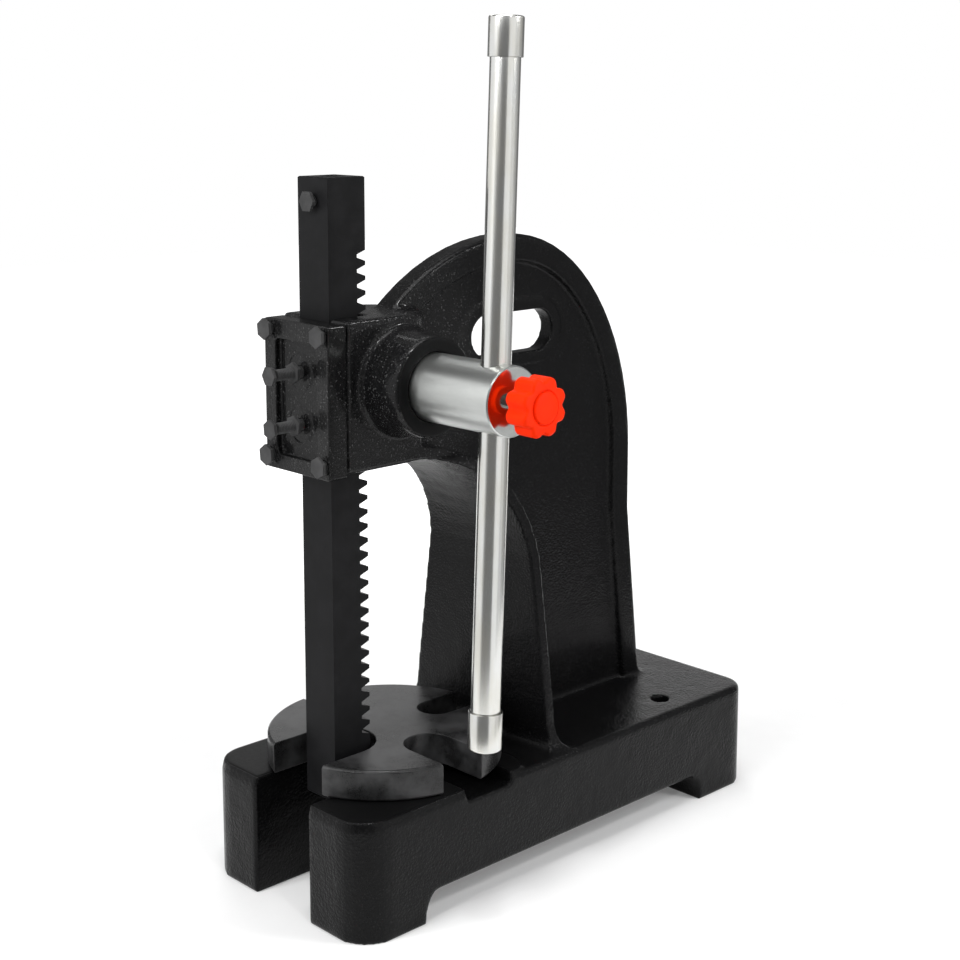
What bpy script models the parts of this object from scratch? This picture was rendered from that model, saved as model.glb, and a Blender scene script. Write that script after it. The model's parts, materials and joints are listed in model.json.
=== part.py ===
"""Arbor press: a one-piece C-frame casting, a toothed ram driven by a pinion cut in the lever shaft,
a sliding lever bar, an adjustable gib behind a bolted cover, and a turning plate with four notches.

Metres, +Z up, bench at z = 0. The handle side is +X and the operator stands at -Y.
Inside the root empty, x = 0 and y = 0 is the ram's own axis.
"""

import math

import bmesh
import bpy

# Clearances and the overrun of every cutter
RUN_GAP = 0.0003
OVERRUN = 0.006

# Ram and rack
RAM_SIDE = 0.032
RAM_LENGTH = 0.4374
RAM_NOSE_HEIGHT = 0.071
RAM_CHAMFER = 0.0008
RACK_MODULE = 0.00325
RACK_GROOVES = 34
RACK_FIRST_GROOVE = 0.0467
FLANK_PLAY = 0.00014
RAM_TOP_HOLE_DIAMETER = 0.015
RAM_TOP_HOLE_DEPTH = 0.010

# Pinion and lever shaft
PINION_TEETH = 12
PRESSURE_ANGLE = math.radians(20)
PROFILE_SHIFT_SHARE = 0.3
ADDENDUM_SHARE = 0.93
ROOT_CLEARANCE_SHARE = 0.25
PINION_RISE = 0.0586
PINION_SIDE_REACH = 0.0007
SHAFT_REACH = 0.0735
SHAFT_CHAMFER = 0.0008
JOURNAL_DIAMETER = 0.030

# Lever bar, its end caps and its clamp knob
BAR_DIAMETER = 0.020
BAR_LENGTH = 0.4717
BAR_OFFSET = 0.0045
BAR_TILT = math.radians(2.3)
BAR_INSET = 0.0165
BAR_CHAMFER = 0.001
CAP_WALL = 0.0012
CAP_LENGTH = 0.026
CAP_END_WALL = 0.004
CAP_ROUND = 0.0015
STUD_DIAMETER = 0.010
KNOB_DIAMETER = 0.040
KNOB_LOBES = 8
KNOB_LOBE_DEPTH = 0.0034
KNOB_NECK_DIAMETER = 0.018
KNOB_NECK_LENGTH = 0.004
KNOB_HEAD_LENGTH = 0.0181
KNOB_ROUND = 0.0025
KNOB_CAP_DIAMETER = 0.021
KNOB_CAP_RISE = 0.0012
KNOB_CAP_TAPER = 0.0006
KNOB_STANDOFF = 0.007

# Base of the casting
BASE_WIDTH = 0.1747
BASE_FRONT = 0.0518
BASE_REAR = 0.3622
BASE_HEIGHT = 0.0835
BASE_FRONT_CORNER = 0.026
BASE_REAR_CORNER = 0.020
BASE_EDGE_ROUND = 0.004
PAD_RISE = 0.0025
PAD_INSET = 0.0012
PAD_REAR = 0.1108
SLOT_SIDE_GAP = 0.003
CROSS_CHANNEL_FRONT = 0.0444
CROSS_CHANNEL_WIDTH = 0.043
CROSS_CHANNEL_DEPTH = 0.009
ARCH_FRONT = 0.0058
ARCH_REAR = 0.301
ARCH_HEIGHT = 0.022
ARCH_END_WIDTH = 0.012
CAVITY_WALL = 0.0165
CAVITY_FRONT = 0.100
CAVITY_REAR = 0.262
CAVITY_ROOF = 0.0175
CAVITY_CORNER = 0.012
BENCH_HOLE_DIAMETER = 0.014
BENCH_HOLE_X = 0.0612
BENCH_HOLE_Y = 0.2801

# Column of the casting: a curved flange at the throat, a thin web, and a rim round the web
THROAT_GAP = 0.0104
THROAT_CENTRE_HEIGHT = 0.215
THROAT_BLEND = 0.0008
FLANGE_THICKNESS = 0.009
FLANGE_FOOT_INSET = 0.0028
FLANGE_ROOT_HALF = 0.0715
FLANGE_ROOT_RISE = 0.028
FLANGE_WAIST_HALF = 0.0485
FLANGE_WAIST_HEIGHT = 0.283
FLANGE_NECK_INSET = 0.0006
FLANGE_NECK_RISE = 0.027
WEB_THICKNESS = 0.011
RIM_THICKNESS = 0.022
RIM_WIDTH = 0.019
RIM_DRAFT = 0.0025
RIM_ROUND = 0.004
CROWN_Y = 0.163
CROWN_HEIGHT = 0.460
CROWN_RISE = 0.180
CROWN_FRONT_REACH = 0.178
CROWN_START_DEGREES = 140
BACK_Y = 0.2985
BACK_BEND_HEIGHT = 0.228
BACK_FLARE = 0.0145
FOOT_FILLET = 0.010
FOOT_SINK = 0.006
HAND_SLOT_LENGTH = 0.085
HAND_SLOT_WIDTH = 0.0315
HAND_SLOT_Y = 0.1676
HAND_SLOT_HEIGHT = 0.3852
HAND_SLOT_BORDER = 0.009
HAND_SLOT_BORDER_RISE = 0.0016

# Head of the casting
HEAD_WIDTH = 0.0692
HEAD_BOTTOM = 0.3094
HEAD_HEIGHT = 0.1045
HEAD_REAR = 0.066
HEAD_REAR_CORNER = 0.026
HEAD_EDGE_ROUND = 0.0025
HANDLE_BOSS_LENGTH = 0.0334
HANDLE_BOSS_WALL = 0.0113
HANDLE_BOSS_TAPER = 0.003
HANDLE_BOSS_CHAMFER = 0.0015
FAR_BOSS_LENGTH = 0.0062
FAR_BOSS_WALL = 0.013

# Front cover, gib and their screws
COVER_THICKNESS = 0.0158
COVER_DROP = 0.0018
COVER_CORNER = 0.002
COVER_SIDE_BORDER = 0.0122
COVER_TOP_BORDER = 0.0132
COVER_FOOT_BORDER = 0.0105
PANEL_DEPTH = 0.0043
PANEL_CORNER = 0.003
SCREW_BOSS_DIAMETER = 0.0245
SCREW_BOSS_RISE = 0.001
COVER_BOLT_DIAMETER = 0.008
COVER_BOLT_GRIP = 0.017
COVER_BOLT_SIDE_INSET = 0.0061
COVER_BOLT_TOP_INSET = 0.0074
COVER_BOLT_FOOT_INSET = 0.0095
COVER_BOLT_FLATS = 0.013
COVER_BOLT_HEAD_HEIGHT = 0.0053
COVER_BOLT_PAD_DIAMETER = 0.017
GIB_THICKNESS = 0.006
GIB_SIDE_INSET = 0.002
GIB_END_INSET = 0.006
GIB_SCREW_DIAMETER = 0.008
GIB_SCREW_FLATS = 0.012
GIB_SCREW_HEAD_HEIGHT = 0.0055
GIB_SCREW_STANDOFF = 0.0142
GIB_SCREW_SPACING = 0.0362
GIB_SCREW_DROP = 0.0005
LOCK_NUT_FLATS = 0.013
LOCK_NUT_HEIGHT = 0.0065
HEX_CHAMFER_SHARE = 1 / 6

# Stop bolt in the ram, and the washer and bolt that keep the lever shaft in
STOP_BOLT_DIAMETER = 0.008
STOP_BOLT_GRIP = 0.007
STOP_BOLT_FLATS = 0.013
STOP_BOLT_HEAD_HEIGHT = 0.0055
STOP_BOLT_DROP = 0.0163
END_WASHER_MARGIN = 0.009
END_WASHER_THICKNESS = 0.004
END_BOLT_DIAMETER = 0.010
END_BOLT_GRIP = 0.018
END_BOLT_FLATS = 0.016
END_BOLT_HEAD_HEIGHT = 0.0064

# Turning plate
PLATE_DIAMETER = 0.170
PLATE_THICKNESS = 0.0222
PLATE_CHAMFER = 0.0015
PLATE_CENTRE_Y = 0.0436
HUB_DEPTH = 0.014
RAM_NOTCH_SIDE_GAP = 0.011
SIDE_NOTCH_WIDTH = 0.036
SIDE_NOTCH_REACH = 0.048
BACK_NOTCH_WIDTH = 0.028
BACK_NOTCH_REACH = 0.0504
SMALL_NOTCH_WIDTH = 0.020
SMALL_NOTCH_REACH = 0.052

# Facets
SCREW_SIDES = 20
BAR_SIDES = 32
SHAFT_SIDES = 48
BOSS_SIDES = 48
PLATE_SIDES = 96
LOBE_STEPS = 10
CORNER_STEPS = 6
ROUND_STEPS = 3
CROWN_STEPS = 9
THROAT_STEPS = 12
FLANK_STEPS = 5
SHARP_ANGLE = math.radians(30)

# Sizes that follow from the ones above
HEAD_TOP = HEAD_BOTTOM + HEAD_HEIGHT
PINION_HEIGHT = HEAD_BOTTOM + PINION_RISE
RACK_PITCH = math.pi * RACK_MODULE
RACK_DEPTH = (2 + ROOT_CLEARANCE_SHARE) * RACK_MODULE
PITCH_RADIUS = RACK_MODULE * PINION_TEETH / 2
BASE_CIRCLE_RADIUS = PITCH_RADIUS * math.cos(PRESSURE_ANGLE)
ROOT_RADIUS = PITCH_RADIUS - (1 + ROOT_CLEARANCE_SHARE - PROFILE_SHIFT_SHARE) * RACK_MODULE
SHAFT_RADIUS = PITCH_RADIUS + (PROFILE_SHIFT_SHARE + ADDENDUM_SHARE) * RACK_MODULE
PINION_Y = RAM_SIDE / 2 + PITCH_RADIUS - (1 - PROFILE_SHIFT_SHARE) * RACK_MODULE
CHANNEL_HALF = RAM_SIDE / 2 + RUN_GAP
PINION_HALF = RAM_SIDE / 2 + PINION_SIDE_REACH
SHAFT_BORE_RADIUS = SHAFT_RADIUS + RUN_GAP
HANDLE_BOSS_FACE = HEAD_WIDTH / 2 + HANDLE_BOSS_LENGTH
HANDLE_BOSS_RADIUS = SHAFT_RADIUS + HANDLE_BOSS_WALL
FAR_BOSS_FACE = HEAD_WIDTH / 2 + FAR_BOSS_LENGTH
FAR_BOSS_RADIUS = JOURNAL_DIAMETER / 2 + FAR_BOSS_WALL
JOURNAL_END = FAR_BOSS_FACE + RUN_GAP
END_WASHER_SEAT = JOURNAL_END + RUN_GAP
END_WASHER_RADIUS = JOURNAL_DIAMETER / 2 + END_WASHER_MARGIN
END_BOLT_SEAT = END_WASHER_SEAT + END_WASHER_THICKNESS + RUN_GAP
SHAFT_END = HANDLE_BOSS_FACE + SHAFT_REACH
BAR_X = SHAFT_END - BAR_INSET
CAP_BORE_RADIUS = BAR_DIAMETER / 2 + RUN_GAP
STUD_TIP = BAR_X + CAP_BORE_RADIUS
KNOB_BACK = SHAFT_END + KNOB_STANDOFF
KNOB_SHOULDER = KNOB_BACK + KNOB_NECK_LENGTH
KNOB_FACE = KNOB_SHOULDER + KNOB_HEAD_LENGTH
KNOB_FRONT = KNOB_FACE + KNOB_CAP_RISE
PAD_HEIGHT = BASE_HEIGHT + PAD_RISE
PLATE_BOTTOM = PAD_HEIGHT + RUN_GAP
PLATE_RADIUS = PLATE_DIAMETER / 2
RAM_NOTCH_HALF = RAM_SIDE / 2 + RAM_NOTCH_SIDE_GAP
SLOT_HALF = RAM_NOTCH_HALF + SLOT_SIDE_GAP
THROAT_FACE_Y = PLATE_CENTRE_Y + PLATE_RADIUS + THROAT_GAP
THROAT_RADIUS = HEAD_BOTTOM - THROAT_CENTRE_HEIGHT + THROAT_BLEND
THROAT_CENTRE = (THROAT_FACE_Y - THROAT_RADIUS, THROAT_CENTRE_HEIGHT)
CROWN_CENTRE = (CROWN_Y, CROWN_HEIGHT - CROWN_RISE)
COVER_BACK = CHANNEL_HALF + RUN_GAP
COVER_FRONT = COVER_BACK + COVER_THICKNESS
COVER_BOTTOM = HEAD_BOTTOM - COVER_DROP
COVER_TOP = HEAD_TOP - COVER_DROP
PANEL_FACE = COVER_FRONT - PANEL_DEPTH
SCREW_BOSS_FACE = PANEL_FACE + SCREW_BOSS_RISE
GIB_BACK = CHANNEL_HALF
GIB_FACE = GIB_BACK + GIB_THICKNESS
GIB_POCKET_FACE = GIB_FACE + RUN_GAP
LOCK_NUT_SEAT = SCREW_BOSS_FACE + RUN_GAP
GIB_SCREW_SEAT = LOCK_NUT_SEAT + LOCK_NUT_HEIGHT + GIB_SCREW_STANDOFF
FRONT_REACH = GIB_SCREW_SEAT + GIB_SCREW_HEAD_HEIGHT
GIB_HEIGHT = (COVER_BOTTOM + COVER_TOP) / 2 - GIB_SCREW_DROP
GIB_SCREW_HEIGHTS = {"upper": GIB_HEIGHT + GIB_SCREW_SPACING / 2, "lower": GIB_HEIGHT - GIB_SCREW_SPACING / 2}
RAM_AXIS_X = (BASE_WIDTH / 2 - KNOB_FRONT) / 2
RAM_AXIS_Y = (FRONT_REACH - BASE_REAR) / 2


def material(name, colour, roughness, metallic):
    """A Principled material in the finish of one kind of piece."""
    made = bpy.data.materials.new(name)
    made.use_nodes = True
    shader = made.node_tree.nodes["Principled BSDF"]
    shader.inputs["Base Color"].default_value = (*colour, 1)
    shader.inputs["Roughness"].default_value = roughness
    shader.inputs["Metallic"].default_value = metallic
    return made


def empty(name, parent, location=(0, 0, 0), tilt=0):
    """An empty on a joint's axis, for the pieces that move about it."""
    made = bpy.data.objects.new(name, None)
    bpy.context.scene.collection.objects.link(made)
    made.parent = parent
    made.location = location
    made.rotation_euler = (tilt, 0, 0)
    return made


def piece(name, bodies, parent, finish=None, location=(0, 0, 0)):
    """An object of closed lofts, each a list of rings with equal counts. Without a finish it is a cutter."""
    shape = bmesh.new()
    for rings in bodies:
        loops = [[shape.verts.new(point) for point in ring] for ring in rings]
        count = len(rings[0])
        for lower, upper in zip(loops, loops[1:]):
            for i in range(count):
                j = (i + 1) % count
                shape.faces.new((lower[i], lower[j], upper[j], upper[i]))
        shape.faces.new(loops[0][::-1])
        shape.faces.new(loops[-1])
    bmesh.ops.recalc_face_normals(shape, faces=shape.faces)
    mesh = bpy.data.meshes.new(name)
    shape.to_mesh(mesh)
    shape.free()
    mesh.shade_smooth()
    mesh.set_sharp_from_angle(angle=SHARP_ANGLE)
    made = bpy.data.objects.new(name, mesh)
    bpy.context.scene.collection.objects.link(made)
    made.parent = parent
    made.location = location
    if finish:
        mesh.materials.append(finish)
    else:
        made.hide_render = True
        made.display_type = "WIRE"
    return made


def on_axis(axis, outline, along):
    """A ring of 3-D points from an outline across an axis and a place along it."""
    if axis == "X":
        return [(along, u, v) for u, v in outline]
    if axis == "Y":
        return [(u, along, v) for u, v in outline]
    return [(u, v, along) for u, v in outline]


def layered(axis, layers):
    """The rings of a loft through (place along the axis, outline) pairs."""
    return [on_axis(axis, outline, along) for along, outline in layers]


def prism(axis, outline, low, high):
    return layered(axis, [(low, outline), (high, outline)])


def turned(axis, profile, sides, centre=(0, 0)):
    """The rings of a turned solid from (radius, place along the axis) pairs."""
    return layered(axis, [(along, circle(radius, sides, centre)) for radius, along in profile])


def rod(axis, radius, low, high, sides, chamfer=0, centre=(0, 0)):
    """The rings of a round bar, with a chamfer at both ends if one is given."""
    profile = [(radius, low), (radius, high)]
    if chamfer:
        profile = [
            (radius - chamfer, low),
            (radius, low + chamfer),
            (radius, high - chamfer),
            (radius - chamfer, high),
        ]
    return turned(axis, profile, sides, centre)


def circle(radius, sides, centre=(0, 0)):
    points = []
    for i in range(sides):
        angle = math.tau * (i + 1 / 2) / sides
        points.append((centre[0] + radius * math.cos(angle), centre[1] + radius * math.sin(angle)))
    return points


def hexagon(across_flats, centre=(0, 0)):
    return circle(across_flats / 2 / math.cos(math.pi / 6), 6, centre)


def arc(centre, radii, start, end, steps):
    """Points of an elliptical arc, its ends included, between two angles in degrees."""
    points = []
    for i in range(steps + 1):
        angle = math.radians(start + (end - start) * i / steps)
        points.append((centre[0] + radii[0] * math.cos(angle), centre[1] + radii[1] * math.sin(angle)))
    return points


def rounded(low, high, radii, inset=0):
    """A rectangle with a radius at each corner, anticlockwise from its low corner, drawn in by inset."""
    corners = [(low[0], low[1]), (high[0], low[1]), (high[0], high[1]), (low[0], high[1])]
    inward = [(1, 1), (-1, 1), (-1, -1), (1, -1)]
    points = []
    for i in range(4):
        radius = radii[i]
        centre = (corners[i][0] + inward[i][0] * radius, corners[i][1] + inward[i][1] * radius)
        start = 180 + 90 * i
        points += arc(centre, (radius - inset, radius - inset), start, start + 90, CORNER_STEPS)
    return points


def rectangle(low, high):
    return [(low[0], low[1]), (high[0], low[1]), (high[0], high[1]), (low[0], high[1])]


def open_slot(half, mouth, end, quarter_turns=0):
    """A slot that runs from its mouth up to a round end, turned by quarter turns anticlockwise."""
    points = [(-half, mouth), *arc((0, end), (half, half), 180, 0, 2 * CORNER_STEPS), (half, mouth)]
    for _ in range(quarter_turns):
        points = [(-v, u) for u, v in points]
    return points


def stadium(length, width, centre, grow=0):
    """A slot with round ends, its length along the first axis."""
    radius = width / 2 + grow
    reach = (length - width) / 2
    right = arc((centre[0] + reach, centre[1]), (radius, radius), -90, 90, 2 * CORNER_STEPS)
    left = arc((centre[0] - reach, centre[1]), (radius, radius), 90, 270, 2 * CORNER_STEPS)
    return right + left


def eased(low, high, radius, outline):
    """Layers from low to high with both end edges rounded, where outline(inset) draws the outline in."""
    layers = []
    for i in range(ROUND_STEPS + 1):
        angle = math.pi / 2 * i / ROUND_STEPS
        inset = radius * (1 - math.sin(angle))
        depth = radius * (1 - math.cos(angle))
        layers.append((depth, inset))
    start = [(low + depth, outline(inset)) for depth, inset in layers]
    end = [(high - depth, outline(inset)) for depth, inset in reversed(layers)]
    return start + end


def combine(target, operation, others):
    """One Boolean for each other object."""
    for other in others:
        step = target.modifiers.new(other.name, "BOOLEAN")
        step.operation = operation
        step.object = other
        step.solver = "EXACT"
    return target


def join(target, *others):
    return combine(target, "UNION", others)


def cut(target, *others):
    return combine(target, "DIFFERENCE", others)


def base_outline(rear, inset=0):
    """Plan of the base as far back as rear, with its own corner radii."""
    half = BASE_WIDTH / 2
    corners = (BASE_FRONT_CORNER, BASE_FRONT_CORNER, BASE_REAR_CORNER, BASE_REAR_CORNER)
    return rounded((-half, -BASE_FRONT), (half, rear), corners, inset)


def arch_outline():
    """Side view of the arch under the base."""
    ends = (ARCH_END_WIDTH, ARCH_HEIGHT)
    front = arc((ARCH_FRONT + ARCH_END_WIDTH, 0), ends, 180, 90, CORNER_STEPS)
    rear = arc((ARCH_REAR - ARCH_END_WIDTH, 0), ends, 90, 0, CORNER_STEPS)
    return [(ARCH_FRONT, -OVERRUN), *front, *rear, (ARCH_REAR, -OVERRUN)]


def base_cutters(root):
    """The slot, the cross channel, the arch, the underside and the bench bolt holes."""
    side = BASE_WIDTH / 2 + OVERRUN
    above = PAD_HEIGHT + OVERRUN
    slot = open_slot(SLOT_HALF, -BASE_FRONT - OVERRUN, PLATE_CENTRE_Y)
    channel_rear = CROSS_CHANNEL_FRONT + CROSS_CHANNEL_WIDTH
    channel_floor = PAD_HEIGHT - CROSS_CHANNEL_DEPTH
    channel = rectangle((CROSS_CHANNEL_FRONT, channel_floor), (channel_rear, above))
    cavity_half = BASE_WIDTH / 2 - CAVITY_WALL
    cavity = rounded((-cavity_half, CAVITY_FRONT), (cavity_half, CAVITY_REAR), 4 * [CAVITY_CORNER])
    radius = BENCH_HOLE_DIAMETER / 2
    holes = []
    for x in (-BENCH_HOLE_X, BENCH_HOLE_X):
        holes.append(rod("Z", radius, -OVERRUN, above, SCREW_SIDES, centre=(x, BENCH_HOLE_Y)))
    return [
        piece("base slot", [prism("Z", slot, -OVERRUN, above)], root),
        piece("cross channel", [prism("X", channel, -side, side)], root),
        piece("base arch", [prism("X", arch_outline(), -side, side)], root),
        piece("base cavity", [prism("Z", cavity, -OVERRUN, BASE_HEIGHT - CAVITY_ROOF)], root),
        piece("bench bolt holes", holes, root),
    ]


def throat_flange(root):
    """The wide flange that sweeps from the base up into the underside of the head."""
    rear = THROAT_FACE_Y + FLANGE_THICKNESS
    sunk = BASE_HEIGHT - FOOT_SINK
    fillet = (FOOT_FILLET, FOOT_FILLET)
    fillet_height = BASE_HEIGHT + FOOT_FILLET
    inner = (THROAT_RADIUS, THROAT_RADIUS)
    outer = (THROAT_RADIUS + FLANGE_THICKNESS, THROAT_RADIUS + FLANGE_THICKNESS)
    side_view = [
        (THROAT_FACE_Y - FOOT_FILLET, sunk),
        *arc((THROAT_FACE_Y - FOOT_FILLET, fillet_height), fillet, 270, 360, CORNER_STEPS),
        *arc(THROAT_CENTRE, inner, 0, 90, THROAT_STEPS),
        *arc(THROAT_CENTRE, outer, 90, 0, THROAT_STEPS),
        *arc((rear + FOOT_FILLET, fillet_height), fillet, 180, 270, CORNER_STEPS),
        (rear + FOOT_FILLET, sunk),
    ]
    foot_half = BASE_WIDTH / 2 - FLANGE_FOOT_INSET
    neck_half = HEAD_WIDTH / 2 - FLANGE_NECK_INSET
    flare = (foot_half - FLANGE_ROOT_HALF, FLANGE_ROOT_RISE)
    neck = (FLANGE_WAIST_HALF - neck_half, FLANGE_NECK_RISE)
    right = [
        (foot_half, sunk - FOOT_SINK),
        *arc((foot_half, BASE_HEIGHT + FLANGE_ROOT_RISE), flare, 270, 180, CORNER_STEPS),
        *arc((neck_half, FLANGE_WAIST_HEIGHT), neck, 0, 90, CORNER_STEPS),
        (neck_half, HEAD_TOP),
    ]
    left = [(-x, z) for x, z in reversed(right)]
    flange = piece("throat flange", [prism("X", side_view, -foot_half - OVERRUN, foot_half + OVERRUN)], root)
    front = -HEAD_REAR
    front_view = prism("Y", right + left, front, rear + FOOT_FILLET + OVERRUN)
    return combine(flange, "INTERSECT", [piece("flange front view", [front_view], root)])


def column_outline(inset, front_reach):
    """Side view of the column: crown, back and foot drawn in by inset, and the throat at its own reach."""
    front = (CROWN_FRONT_REACH - inset, CROWN_RISE - inset)
    rear = (BACK_Y - CROWN_Y - inset, CROWN_RISE - inset)
    foot_y = BACK_Y + BACK_FLARE
    fillet = FOOT_FILLET + inset
    bottom = BASE_HEIGHT - inset - FOOT_SINK
    reach = THROAT_RADIUS + front_reach
    return [
        *arc(CROWN_CENTRE, front, CROWN_START_DEGREES, 90, CROWN_STEPS),
        *arc(CROWN_CENTRE, rear, 90, 0, 2 * CROWN_STEPS)[1:],
        (BACK_Y - inset, BACK_BEND_HEIGHT),
        *arc((foot_y + FOOT_FILLET, BASE_HEIGHT + FOOT_FILLET), (fillet, fillet), 180, 270, CORNER_STEPS),
        (foot_y + FOOT_FILLET, bottom),
        (THROAT_CENTRE[0] + reach, bottom),
        *arc(THROAT_CENTRE, (reach, reach), 0, 90, THROAT_STEPS),
    ]


def column(root):
    """The web with its rim: a blank with an eased rim, hollowed from both sides, and the hand slot."""
    middle = FLANGE_THICKNESS / 2
    half = RIM_THICKNESS / 2
    blank = eased(-half, half, RIM_ROUND, lambda inset: column_outline(inset, middle + inset))
    made = piece("column", [layered("X", blank)], root)
    behind = FLANGE_THICKNESS - RIM_DRAFT
    for side in (-1, 1):
        layers = [
            (side * WEB_THICKNESS / 2, column_outline(RIM_WIDTH + RIM_DRAFT, behind)),
            (side * half, column_outline(RIM_WIDTH, behind)),
            (side * (half + OVERRUN), column_outline(RIM_WIDTH - RIM_DRAFT, behind)),
        ]
        cut(made, piece("web pocket", [layered("X", layers)], root))
    place = (HAND_SLOT_Y, HAND_SLOT_HEIGHT)
    border_half = WEB_THICKNESS / 2 + HAND_SLOT_BORDER_RISE
    border = stadium(HAND_SLOT_LENGTH, HAND_SLOT_WIDTH, place, HAND_SLOT_BORDER)
    slot = stadium(HAND_SLOT_LENGTH, HAND_SLOT_WIDTH, place)
    join(made, piece("hand slot border", [prism("X", border, -border_half, border_half)], root))
    return cut(made, piece("hand slot", [prism("X", slot, -half, half)], root))


def head(root):
    """The head block with the bosses that carry the lever shaft."""
    half = HEAD_WIDTH / 2
    front = CHANNEL_HALF + HEAD_EDGE_ROUND

    def outline(inset):
        corners = (HEAD_EDGE_ROUND, HEAD_EDGE_ROUND, HEAD_REAR_CORNER, HEAD_REAR_CORNER)
        return rounded((-half, -front), (half, HEAD_REAR), corners, inset)

    made = piece("head", [layered("Z", eased(HEAD_BOTTOM, HEAD_TOP, HEAD_EDGE_ROUND, outline))], root)
    centre = (PINION_Y, PINION_HEIGHT)
    handle_boss = [
        (HANDLE_BOSS_RADIUS + HANDLE_BOSS_TAPER, 0),
        (HANDLE_BOSS_RADIUS + HANDLE_BOSS_TAPER, half),
        (HANDLE_BOSS_RADIUS, HANDLE_BOSS_FACE - HANDLE_BOSS_CHAMFER),
        (HANDLE_BOSS_RADIUS - HANDLE_BOSS_CHAMFER, HANDLE_BOSS_FACE),
    ]
    far_boss = [(FAR_BOSS_RADIUS, 0), (FAR_BOSS_RADIUS, -FAR_BOSS_FACE)]
    return join(
        made,
        piece("handle boss", [turned("X", handle_boss, BOSS_SIDES, centre)], root),
        piece("far boss", [turned("X", far_boss, BOSS_SIDES, centre)], root),
    )


def cover_bolt_places():
    """Across and up, for the four bolts of the front cover."""
    x = HEAD_WIDTH / 2 - COVER_BOLT_SIDE_INSET
    low = COVER_BOTTOM + COVER_BOLT_FOOT_INSET
    high = COVER_TOP - COVER_BOLT_TOP_INSET
    return [(-x, low), (x, low), (x, high), (-x, high)]


def head_cutters(root):
    """The machined front face, the ram channel, the stepped shaft bore and the tapped holes."""
    side = HEAD_WIDTH / 2 + OVERRUN
    low = HEAD_BOTTOM - OVERRUN
    high = HEAD_TOP + OVERRUN
    ahead = -CHANNEL_HALF - OVERRUN
    centre = (PINION_Y, PINION_HEIGHT)
    face = rectangle((-side, ahead), (side, -CHANNEL_HALF))
    channel = rectangle((-CHANNEL_HALF, ahead - OVERRUN), (CHANNEL_HALF, CHANNEL_HALF))
    shaft_bore = [
        (JOURNAL_DIAMETER / 2 + RUN_GAP, -FAR_BOSS_FACE - OVERRUN),
        (JOURNAL_DIAMETER / 2 + RUN_GAP, -PINION_HALF - RUN_GAP),
        (SHAFT_BORE_RADIUS, -PINION_HALF - RUN_GAP),
        (SHAFT_BORE_RADIUS, HANDLE_BOSS_FACE + OVERRUN),
    ]
    radius = COVER_BOLT_DIAMETER / 2 + RUN_GAP
    end = COVER_BOLT_GRIP + RUN_GAP - CHANNEL_HALF
    holes = [rod("Y", radius, ahead, end, SCREW_SIDES, centre=place) for place in cover_bolt_places()]
    return [
        piece("machined front", [prism("Z", face, low, high)], root),
        piece("ram channel", [prism("Z", channel, low, high)], root),
        piece("shaft bore", [turned("X", shaft_bore, SHAFT_SIDES, centre)], root),
        piece("cover bolt holes", holes, root),
    ]


def frame_casting(root):
    """Base, column and head in one casting."""
    finish = material("rough black paint", (0.012, 0.012, 0.013), 0.38, 0)
    eased_top = eased(0, BASE_HEIGHT, BASE_EDGE_ROUND, lambda inset: base_outline(BASE_REAR, inset))
    layers = [(0, base_outline(BASE_REAR)), *eased_top[ROUND_STEPS + 1:]]
    made = piece("frame_casting", [layered("Z", layers)], root, finish)
    pads = prism("Z", base_outline(PAD_REAR, PAD_INSET), BASE_HEIGHT / 2, PAD_HEIGHT)
    join(made, piece("machined pads", [pads], root))
    cut(made, *base_cutters(root))
    join(made, throat_flange(root), column(root), head(root))
    return cut(made, *head_cutters(root))


def rack_groove_height(number):
    return RAM_NOSE_HEIGHT + RACK_FIRST_GROOVE + number * RACK_PITCH


def rack_groove(number):
    """Side view of one tooth space of the rack, open at the ram's rear face."""
    face = RAM_SIDE / 2
    slope = math.tan(PRESSURE_ANGLE)
    middle = RACK_PITCH / 4 + RACK_MODULE * slope
    height = rack_groove_height(number)
    points = []
    for side, depths in ((-1, (-OVERRUN / 2, RACK_DEPTH)), (1, (RACK_DEPTH, -OVERRUN / 2))):
        for depth in depths:
            points.append((face - depth, height + side * (middle - depth * slope)))
    return points


def ram(root):
    """The square ram with its rack on the rear face and a shallow hole in its top."""
    finish = material("black oxide ram", (0.022, 0.022, 0.023), 0.32, 0.85)
    half = RAM_SIDE / 2
    top = RAM_NOSE_HEIGHT + RAM_LENGTH
    blank = rectangle((-half, -half), (half, half))
    ends = rectangle((RAM_CHAMFER - half, RAM_CHAMFER - half), (half - RAM_CHAMFER, half - RAM_CHAMFER))
    layers = [
        (RAM_NOSE_HEIGHT, ends),
        (RAM_NOSE_HEIGHT + RAM_CHAMFER, blank),
        (top - RAM_CHAMFER, blank),
        (top, ends),
    ]
    made = piece("ram", [layered("Z", layers)], root, finish)
    grooves = [prism("X", rack_groove(i), -half - OVERRUN, half + OVERRUN) for i in range(RACK_GROOVES)]
    top_hole = rod("Z", RAM_TOP_HOLE_DIAMETER / 2, top - RAM_TOP_HOLE_DEPTH, top + OVERRUN, SCREW_SIDES)
    radius = STOP_BOLT_DIAMETER / 2 + RUN_GAP
    place = (0, top - STOP_BOLT_DROP)
    stop_hole = rod("Y", radius, -half - OVERRUN, STOP_BOLT_GRIP + RUN_GAP - half, SCREW_SIDES, centre=place)
    return cut(
        made,
        piece("rack grooves", grooves, root),
        piece("ram top hole", [top_hole], root),
        piece("stop bolt hole", [stop_hole], root),
    )


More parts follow.
